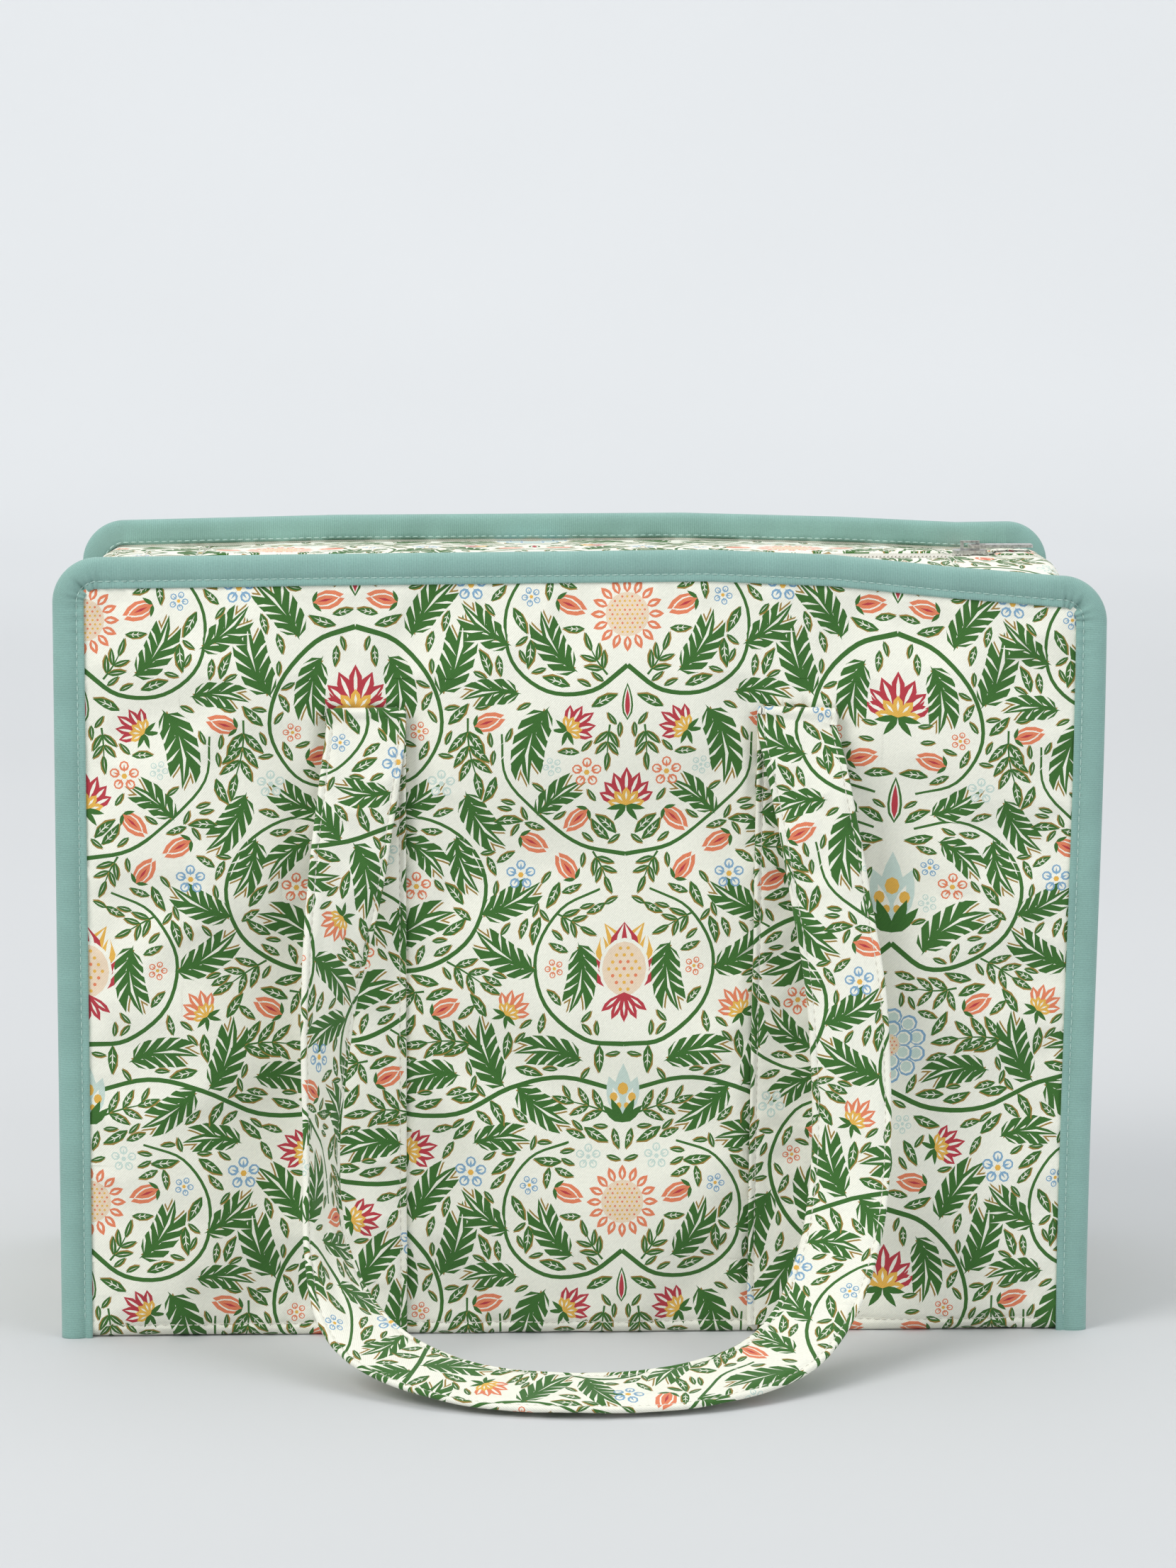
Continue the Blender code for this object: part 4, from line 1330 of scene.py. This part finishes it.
def gusset(side, name, origin):
    length = ((FOOT + GUSSET_BEND) * math.pi / 2 + WALL + LID) / MM
    half = GUSSET_HALF_Y / MM
    slot_end, slot = length - 19.0, 7.0
    outline = [(-half, -3.0), (half, -3.0), (half, length), (slot, length), (slot, slot_end),
               (-slot, slot_end), (-slot, length), (-half, length)]
    start = (FOOT * math.pi / 2 + WALL) / MM
    bends = [start + k * 1.9 for k in range(7)] + [k * 1.9 for k in range(6)]
    lines = cross_lines(bends + [length - 3.2, length - 2.2, length - 1.2], -half, half)
    place = wall_place(side)
    on_bag(printed_cloth(name, outline, place, origin, CLOTH, WALL_THICK, lines=lines), name)
    ends = ((-half + 3, -slot - 1), (slot + 1, half - 3))
    paths = [along(np.arange(low, high, 1.5) * MM, (length - 2.2) * MM) for low, high in ends]
    on_bag(topstitch(name, place, paths))


def base():
    def place(u, v):
        return settle(np.stack([u, -v, 0 * u + 0.0001], -1))
    half_x, half_y = span("base_panel", 0)[1] / MM, 93.5
    floor = printed_cloth("base_panel", rectangle(-half_x, half_x, -half_y, half_y), place, (0.0, 40.0),
                          CLOTH, WALL_THICK, grid=12.0)
    on_bag(floor, "base_panel")


# ---------------------------------------------------------------- handles


THICK = 0.0025                                     # a handle strap, four layers sewn flat
FLAT = STRAP_WIDTH - THICK
ROUND = math.pi * THICK / 2
GIRTH = 2 * (FLAT + ROUND)
SEAM_IN = 0.0026                                   # its topstitching, in from each edge
LEFT_LEG = (
    ((-STRAP_X, -0.1053, FOLD_Z - 0.0040), (1, 0, 0)),
    ((-STRAP_X, -0.1066, FOLD_Z - 0.0100), (1, 0, 0)),
    ((-0.0885, -0.1120, 0.228), (0.99, 0.10, 0)),
    ((-0.0945, -0.1195, 0.185), (0.92, 0.39, 0)),
    ((-0.1015, -0.1285, 0.135), (0.62, 0.78, 0)),
    ((-0.1040, -0.1390, 0.075), (0.38, 0.92, 0.05)),
)
LOOP = (
    ((-0.0995, -0.1555, 0.040), (0.40, 0.90, 0.16)),
    ((-0.0845, -0.1825, 0.017), (0.55, 0.80, 0.24)),
    ((-0.0480, -0.2120, 0.0078), (0.35, 0.90, 0.22)),
    ((-0.0030, -0.2240, 0.0068), (0.00, 0.98, 0.20)),
    ((0.0420, -0.2170, 0.0078), (-0.35, 0.90, 0.24)),
    ((0.0780, -0.1930, 0.014), (-0.70, 0.68, 0.26)),
    ((0.0990, -0.1620, 0.036), (-0.93, 0.30, 0.14)),
)
RIGHT_LEG = (
    ((0.1085, -0.139, 0.075), (-1, 0.08, 0.02)),
    ((0.1070, -0.1270, 0.135), (-1, 0, 0)),
    ((0.0990, -0.1190, 0.185), (-1, 0, 0)),
    ((0.0905, -0.1120, 0.228), (-1, 0, 0)),
    ((STRAP_X, -0.1066, FOLD_Z - 0.0100), (-1, 0, 0)),
    ((STRAP_X, -0.1053, FOLD_Z - 0.0040), (-1, 0, 0)),
)


def sewn_leg(x):
    """The sewn leg of a handle, from the base up, with the turn at its top."""
    outer = 0.1053
    radius = (outer - STRAP_Y) / 2
    a = np.linspace(0, math.pi, 12)
    turn = np.stack([0 * a + x, -(STRAP_Y + radius - radius * np.cos(a)),
                     FOLD_Z - 0.0033 + 1.15 * radius * np.sin(a)], -1)
    return np.concatenate([[(x, -STRAP_Y, STRAP_BASE_Z)], turn[:-1]])


def on_route(at, run, part):
    """The values of one part of a route at distances along it."""
    return np.stack([np.interp(at, run, part[:, k]) for k in range(3)], -1)


def strap_route():
    """Centre line, width direction, outward direction and distance along one whole handle."""
    stations = LEFT_LEG + LOOP + RIGHT_LEG
    free, turned_free = (curve(part, 16) for part in zip(*stations))
    left, right = sewn_leg(-STRAP_X), sewn_leg(STRAP_X)[::-1]
    centre = np.concatenate([left, free, right])
    side = np.concatenate([np.tile((1.0, 0, 0), (len(left), 1)), turned_free,
                           np.tile((-1.0, 0, 0), (len(right), 1))])
    run = run_along(centre)
    even = np.arange(0, run[-1], 0.001)
    centre, side = (on_route(even, run, part) for part in (centre, side))
    loose = ((even > SEWN + 0.02) & (even < even[-1] - SEWN - 0.02))[:, None]
    for _ in range(30):
        for part in (centre, side):
            average = part.copy()
            average[1:-1] = (part[:-2] + 2 * part[1:-1] + part[2:]) / 4
            part[:] = np.where(loose, average, part)
    tangent = np.gradient(centre, axis=0)
    tangent /= np.linalg.norm(tangent, axis=1, keepdims=True)
    side -= tangent * (side * tangent).sum(1, keepdims=True)
    side /= np.linalg.norm(side, axis=1, keepdims=True)
    return centre, side, np.cross(side, tangent), even


SEWN = FOLD_Z - 0.0035 - STRAP_BASE_Z              # along the handle to just under its fold
ROUTE = strap_route()
LENGTH = ROUTE[3][-1]
TURNED_OVER = 0.0072                               # length of the fold itself


def strap_place(side):
    """Where a handle's cloth lies: u goes round the flat tube and v along it."""
    centre, across, outward, run = ROUTE

    def place(u, v):
        u = np.mod(u, GIRTH)
        half = THICK / 2
        a = np.clip((u - FLAT) / half, 0, math.pi)
        b = np.clip((u - 2 * FLAT - ROUND) / half, 0, math.pi)
        x = np.minimum(u, FLAT) - FLAT / 2 + half * np.sin(a) - half * np.sin(b)
        x = x - np.clip(u - FLAT - ROUND, 0, FLAT)
        lift = half * np.cos(a) * np.where(b > 0, -np.cos(b) * np.cos(a), 1.0)
        seam = np.abs(np.abs(x) - (STRAP_WIDTH / 2 - SEAM_IN))
        waves = ripple(v, x, 61 + side, 0.045)
        lift = lift * (1.05 - groove(seam, 0.0006, 0.42) + 0.10 * waves)
        at = [on_route(v, run, part) for part in (centre, across, outward)]
        rumple = 0.0007 * ripple(v, 4 * x, 71 + side, 0.06) * ease((v - SEWN - 0.05) / 0.05)
        rumple = rumple * ease((LENGTH - SEWN - 0.05 - v) / 0.05)
        x = x * (1 + 0.010 * ripple(v, 0 * v, 81 + side, 0.05))
        co = at[0] + at[1] * x[:, None] + at[2] * (lift + rumple)[:, None]
        if side > 0:
            co = co * (-1.0, -1.0, 1.0)
        co[:, 2] = np.maximum(co[:, 2], 0.0004)
        return settle(co)
    return place


def handle(side, name, origin):
    place = strap_place(side)
    round_lines = [FLAT + ROUND * k / 4 for k in range(5)]
    round_lines += [2 * FLAT + ROUND * (1 + k / 4) for k in range(4)]
    seams = [FLAT / 2 - STRAP_WIDTH / 2 + SEAM_IN, FLAT / 2 + STRAP_WIDTH / 2 - SEAM_IN]
    seams += [u + FLAT + ROUND for u in seams]
    dents = [u + shift for u in seams for shift in (-0.0007, 0.0, 0.0007)]
    cuts = (0.0, SEWN, SEWN + TURNED_OVER, LENGTH - SEWN - TURNED_OVER, LENGTH - SEWN, LENGTH)
    first, last = ("left", "right") if side < 0 else ("right", "left")
    pieces = ((f"{first}_strap", [f"{name}_{first}_strap"]), (f"{first}_fold", []),
              ("loose", [f"{name}_left_drop", f"{name}_right_drop", f"{name}_grip"]), (f"{last}_fold", []),
              (f"{last}_strap", [f"{name}_{last}_strap"]))
    for (part, stands_for), low, high in zip(pieces, cuts, cuts[1:]):
        step = 1.0 if "fold" in part else 5.0
        lines = up_lines([u / MM for u in sorted(round_lines + dents)], low / MM, high / MM, step)
        cloth = printed_cloth(f"{name}_{part}", rectangle(0, GIRTH / MM, low / MM, high / MM), place, origin,
                              CLOTH, lines=lines, grid=1.2 if "fold" in part else 5.0)
        v = np.arange(low + 0.0002, high - 0.0002, 0.0005 if "fold" in part else 0.0011)
        thread_row = topstitch(f"{name}_{part}", place, [along(u, v) for u in seams])
        if stands_for:
            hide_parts(*stands_for)
        for piece in (cloth, thread_row):
            if part.endswith("strap"):
                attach(piece, "bag")
            elif part.endswith("fold"):
                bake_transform(piece)
            else:
                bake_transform(piece)


# ---------------------------------------------------------------- opening top and zip


FLAP_SEAM = 0.0024                                 # topstitching, in from the edge by the zip
ZIP_END = FLAP_END + 0.0190                        # the zip runs on under the ends of the lid


def flap_blend(piece):
    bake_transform(piece)


def flap_place(side, height, drop=0.0):
    def place(u, v):
        inner = np.abs(v) - FLAP_INNER_Y
        z = height - drop * (1 - np.sqrt(np.clip(1 - (1 - np.clip(inner, 0, 0.0012) / 0.0012) ** 2, 0, 1)))
        z = z - groove(inner - FLAP_SEAM, 0.0007, 0.0004)
        z = z - 0.0006 * ease(1 - (FLAP_END - np.abs(u)) / 0.0013)
        z = z + 0.0006 * ripple(u, v, 91 + side, 0.11) * ease((np.abs(v) - 0.018) / 0.015)
        z = z - 0.0012 * ease((np.abs(v) - 0.050) / 0.040)
        return settle(np.stack([u, v, z], -1))
    return place


def flap(side, name, origin):
    low, high = sorted((side * 96.0, side * FLAP_INNER_Y / MM))
    end = FLAP_END / MM
    place = flap_place(side, GUSSET_Z, 0.0009)
    seams = [side * (FLAP_INNER_Y + shift) / MM for shift in (0.0003, 0.0009, 0.0017, FLAP_SEAM, 0.0031)]
    under = flap_place(side, span("front_flap_lining", 2)[1])
    for half, word in ((-1, "left"), (1, "right")):
        first, last = sorted((0.0, half * end))
        cloth = printed_cloth(f"{name}_strip_{word}", rectangle(first, last, low, high), place, origin, CLOTH,
                              WALL_THICK, lines=cross_lines(seams, first, last))
        u = np.arange(first * MM + 0.002, last * MM - 0.002, 0.0011)
        row = topstitch(f"{name}_strip_{word}", place, [along(u, side * (FLAP_INNER_Y + FLAP_SEAM))])
        inner, outer = sorted((side * 18.1, side * 89.5))
        lining = printed_cloth(f"{name}_flap_lining_{word}", rectangle(first, last, inner, outer), under,
                               (0, 0), LINING, LINING_THICK, grid=8.0, plain=True)
        ends = sorted((0.0, half * ZIP_END))
        tape = zip_tape(side, f"{name}_tape_{word}", *ends)
        coil = zip_coil(side, f"{name}_coil_{word}", *ends)
        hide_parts(f"{name}_top_strip")
        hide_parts(f"{name}_flap_lining")
        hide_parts(f"{name}_zip_tape")
        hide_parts(f"{name}_zip_coil")
        for piece in (cloth, row, lining, tape, coil):
            flap_blend(piece)


def zip_tape(side, name, low, high):
    """Half of one tape. Past the flap's end it narrows and runs on under the end of the lid."""
    inner, outer = COIL_OUTER - 0.0004, FLAP_INNER_Y + 0.004
    x = np.sort(np.concatenate([np.linspace(low, high, 44), [-FLAP_END, FLAP_END]]))
    x = x[(x >= low) & (x <= high)]
    rows, uv = [], []
    for at in x:
        edge = outer if abs(at) <= FLAP_END else 0.0068
        section = ((inner, 0.3058), (edge, 0.3058), (edge, 0.3066), (inner, 0.3066))
        rows.append([(at, side * y, z) for y, z in section])
        uv.append([(at, y + z) for y, z in section])
    return swept(name, rows, TAPE, uv)


def zip_coil(side, name, low, high, pitch=0.0016):
    """Rounded coil turns side by side, meeting the other half's turns along the middle."""
    co, faces = [], []
    shift = pitch / 2 if side > 0 else 0.0
    sections = ((-0.0002, 0.4), (0.0003, 1.0), (0.0016, 0.9), (0.0030, 0.8), (0.0036, 0.3))
    sides = 8
    for k in range(int((high - low - shift) / pitch)):
        x = low + shift + pitch * (k + 0.5)
        base = len(co)
        for y, size in sections:
            for j in range(sides):
                a = side * 2 * math.pi * j / sides
                co.append((x + 0.00062 * size * math.cos(a), side * y, COIL_Z + 0.0012 * size * math.sin(a)))
        for row in range(len(sections) - 1):
            for j in range(sides):
                a, b = base + row * sides + j, base + row * sides + (j + 1) % sides
                faces.append((a, a + sides, b + sides, b))
    coil = build_mesh(name, np.array(co), np.array(faces))
    coil.data.materials.append(COIL)
    face_out(coil)
    return coil


def zip_tab(name):
    """A folded patch of the print sewn over the end of the zip."""
    low, high = (edge / MM for edge in span(name, 0))
    height = span(name, 2)[1]

    def place(u, v):
        edge = np.minimum.reduce([u - low * MM, high * MM - u, 0.013 - np.abs(v)])
        z = height - 0.0007 * (1 - ease(edge / 0.0012)) - groove(edge - 0.0022, 0.0006, 0.0003)
        return settle(np.stack([u, v, z], -1))
    ring, inner = (rectangle(low + d, high - d, d - 13.0, 13.0 - d) for d in (0.4, 2.2))
    ring, inner = ring + ring[:1], inner + inner[:1]
    tab = printed_cloth(name + "_cloth", rectangle(low, high, -13.0, 13.0), place, (33.0, 71.0), CLOTH,
                        0.0010, grid=1.5, lines=[ring, inner])
    corners = np.array(inner) * MM
    t = np.linspace(0, 1, 16)[:, None]
    path = np.concatenate([a + (b - a) * t for a, b in zip(corners, corners[1:])])
    on_bag(tab, name)
    on_bag(topstitch(name, place, [path]))


# ---------------------------------------------------------------- lining


def lining(name, flat, place, low_v=0.0):
    width, tall = flat
    sheet = printed_cloth(name, rectangle(-width / 2, width / 2, low_v, low_v + tall), place, (0, 0), LINING,
                          LINING_THICK, grid=8.0, plain=True)
    on_bag(sheet, name)


def linings():
    for side, name in ((-1, "front_lining"), (1, "back_lining")):
        def face(u, v, side=side):
            y = 0.0951 + 0.0006 * ripple(u, v, 101 + side, 0.12) - 0.0006
            x, y = -side * u, side * y
            return np.stack([x - lean(x, v), y, v - slump(x, y) * ease((v - 0.13) / 0.18)], -1)
        lining(name, (390.0, 296.0), face, 7.0)
    for side, name in ((-1, "left_lining"), (1, "right_lining")):
        def wall(u, v, side=side):
            x = side * (0.1951 + 0.0007 * ripple(u, v, 111 + side, 0.10))
            return np.stack([x - lean(x, v), side * u, v - 0.4 * slump(x, u) * ease((v - 0.13) / 0.18)], -1)
        lining(name, (189.0, 293.0), wall, 7.0)

    def floor(u, v):
        return np.stack([u, v, 0.0066 + 0 * u], -1)
    lining("base_lining", (385.0, 189.0), floor, -94.5)


# ---------------------------------------------------------------- hard parts


def dress(name, material, bevel, segments=3):
    """A CAD part shown as it is, with its finish and softened edges."""
    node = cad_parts[name]
    node.data.materials.clear()
    node.data.materials.append(material)
    modifier = node.modifiers.new("edges", "BEVEL")
    modifier.width = bevel
    modifier.segments = segments
    modifier.limit_method = "ANGLE"
    modifier.angle_limit = math.radians(35)
    modifier.harden_normals = True


PUFF = puff_sheet()
face_panel(-1, "front_panel", (90.0, 0.0))
face_panel(1, "back_panel", (36.0, 118.0))
binding(-1, "front_binding")
binding(1, "back_binding")
gusset(-1, "left_gusset", (20.0, 60.0))
gusset(1, "right_gusset", (74.0, 150.0))
base()
handle(-1, "front", (12.0, 31.0))
handle(1, "back", (61.0, 140.0))
flap(-1, "front", (15.0, 20.0))
flap(1, "back", (15.0, 20.0))
zip_tab("left_zip_tab")
zip_tab("right_zip_tab")
linings()
dress("zip_slider", METAL, 0.0004)
dress("zip_pull", METAL, 0.0003)
dress("lower_tray", TRAY, 0.0008)
dress("upper_tray", TRAY, 0.0008)
dress("base_board", BOARD, 0.0004, 2)

# ---------------------------------------------------------------- stage


def area_light(name, place, towards, size, power, colour=(1.0, 1.0, 1.0)):
    data = bpy.data.lights.new(name, "AREA")
    data.shape = "RECTANGLE"
    data.size, data.size_y = size
    data.energy = power
    data.color = colour
    light = bpy.data.objects.new(name, data)
    light.location = place
    light.rotation_euler = (Vector(towards) - Vector(place)).to_track_quat("-Z", "Y").to_euler()
    bpy.context.scene.collection.objects.link(light)


def studio():
    shade = Shade("paper", 0.95)
    where = shade.place()
    depth = shade.add("ShaderNodeSeparateXYZ", Vector=where).outputs[1]
    # painted light and shade on the backdrop: by position alone, the paper is darker on the floor in front
    # and lighter on the far wall, standing in for how the lamps fall on it
    tone = shade.mix("MIX", shade.ramp(depth, -0.5, 1.5), (0.618, 0.630, 0.642), (0.745, 0.757, 0.766))
    tone = shade.mix("MIX", shade.ramp(depth, 1.5, 4.5), tone, (0.86, 0.874, 0.885))
    tone = shade.tint(tone, shade.noise(where, 1.2), 0.3, 0.7, 0.985, 1.01)
    paper = shade.finish(tone, shade.noise(where, 300.0), 0.0001, 0.2)
    turn = np.linspace(0, math.pi / 2, 25)
    bend = [(4.0 + 1.6 * math.sin(a), 1.6 * (1 - math.cos(a))) for a in turn]
    profile = [(0.01, 0.0), (1.0, 0.0), (2.0, 0.0), (3.0, 0.0)] + bend + [(5.6, 2.0)]
    around = np.linspace(0, 2 * math.pi, 128, endpoint=False)
    rows = [[(r * math.cos(a), r * math.sin(a), z) for a in around] for r, z in profile]
    floor = swept("studio_paper", rows, paper)
    floor.data.flip_normals()
    world = bpy.data.worlds.new("studio")
    world.use_nodes = True
    world.node_tree.nodes["Background"].inputs["Color"].default_value = (0.95, 0.975, 1.0, 1.0)
    world.node_tree.nodes["Background"].inputs["Strength"].default_value = 0.62
    bpy.context.scene.world = world
    area_light("key", (-1.9, -1.6, 2.3), (0.0, 0.0, 0.15), (1.6, 1.6), 48.0, (1.0, 0.985, 0.96))
    area_light("fill", (1.9, -1.8, 1.3), (0.0, 0.0, 0.15), (1.6, 1.6), 16.0, (0.96, 0.98, 1.0))
    area_light("wash", (0.0, 3.4, 2.6), (0.0, 5.2, 0.3), (4.5, 1.0), 25.0)
    area_light("top", (0.2, 0.5, 2.6), (0.0, 0.0, 0.2), (2.4, 2.0), 20.0)
    bpy.context.scene.view_settings.view_transform = "Standard"


studio()
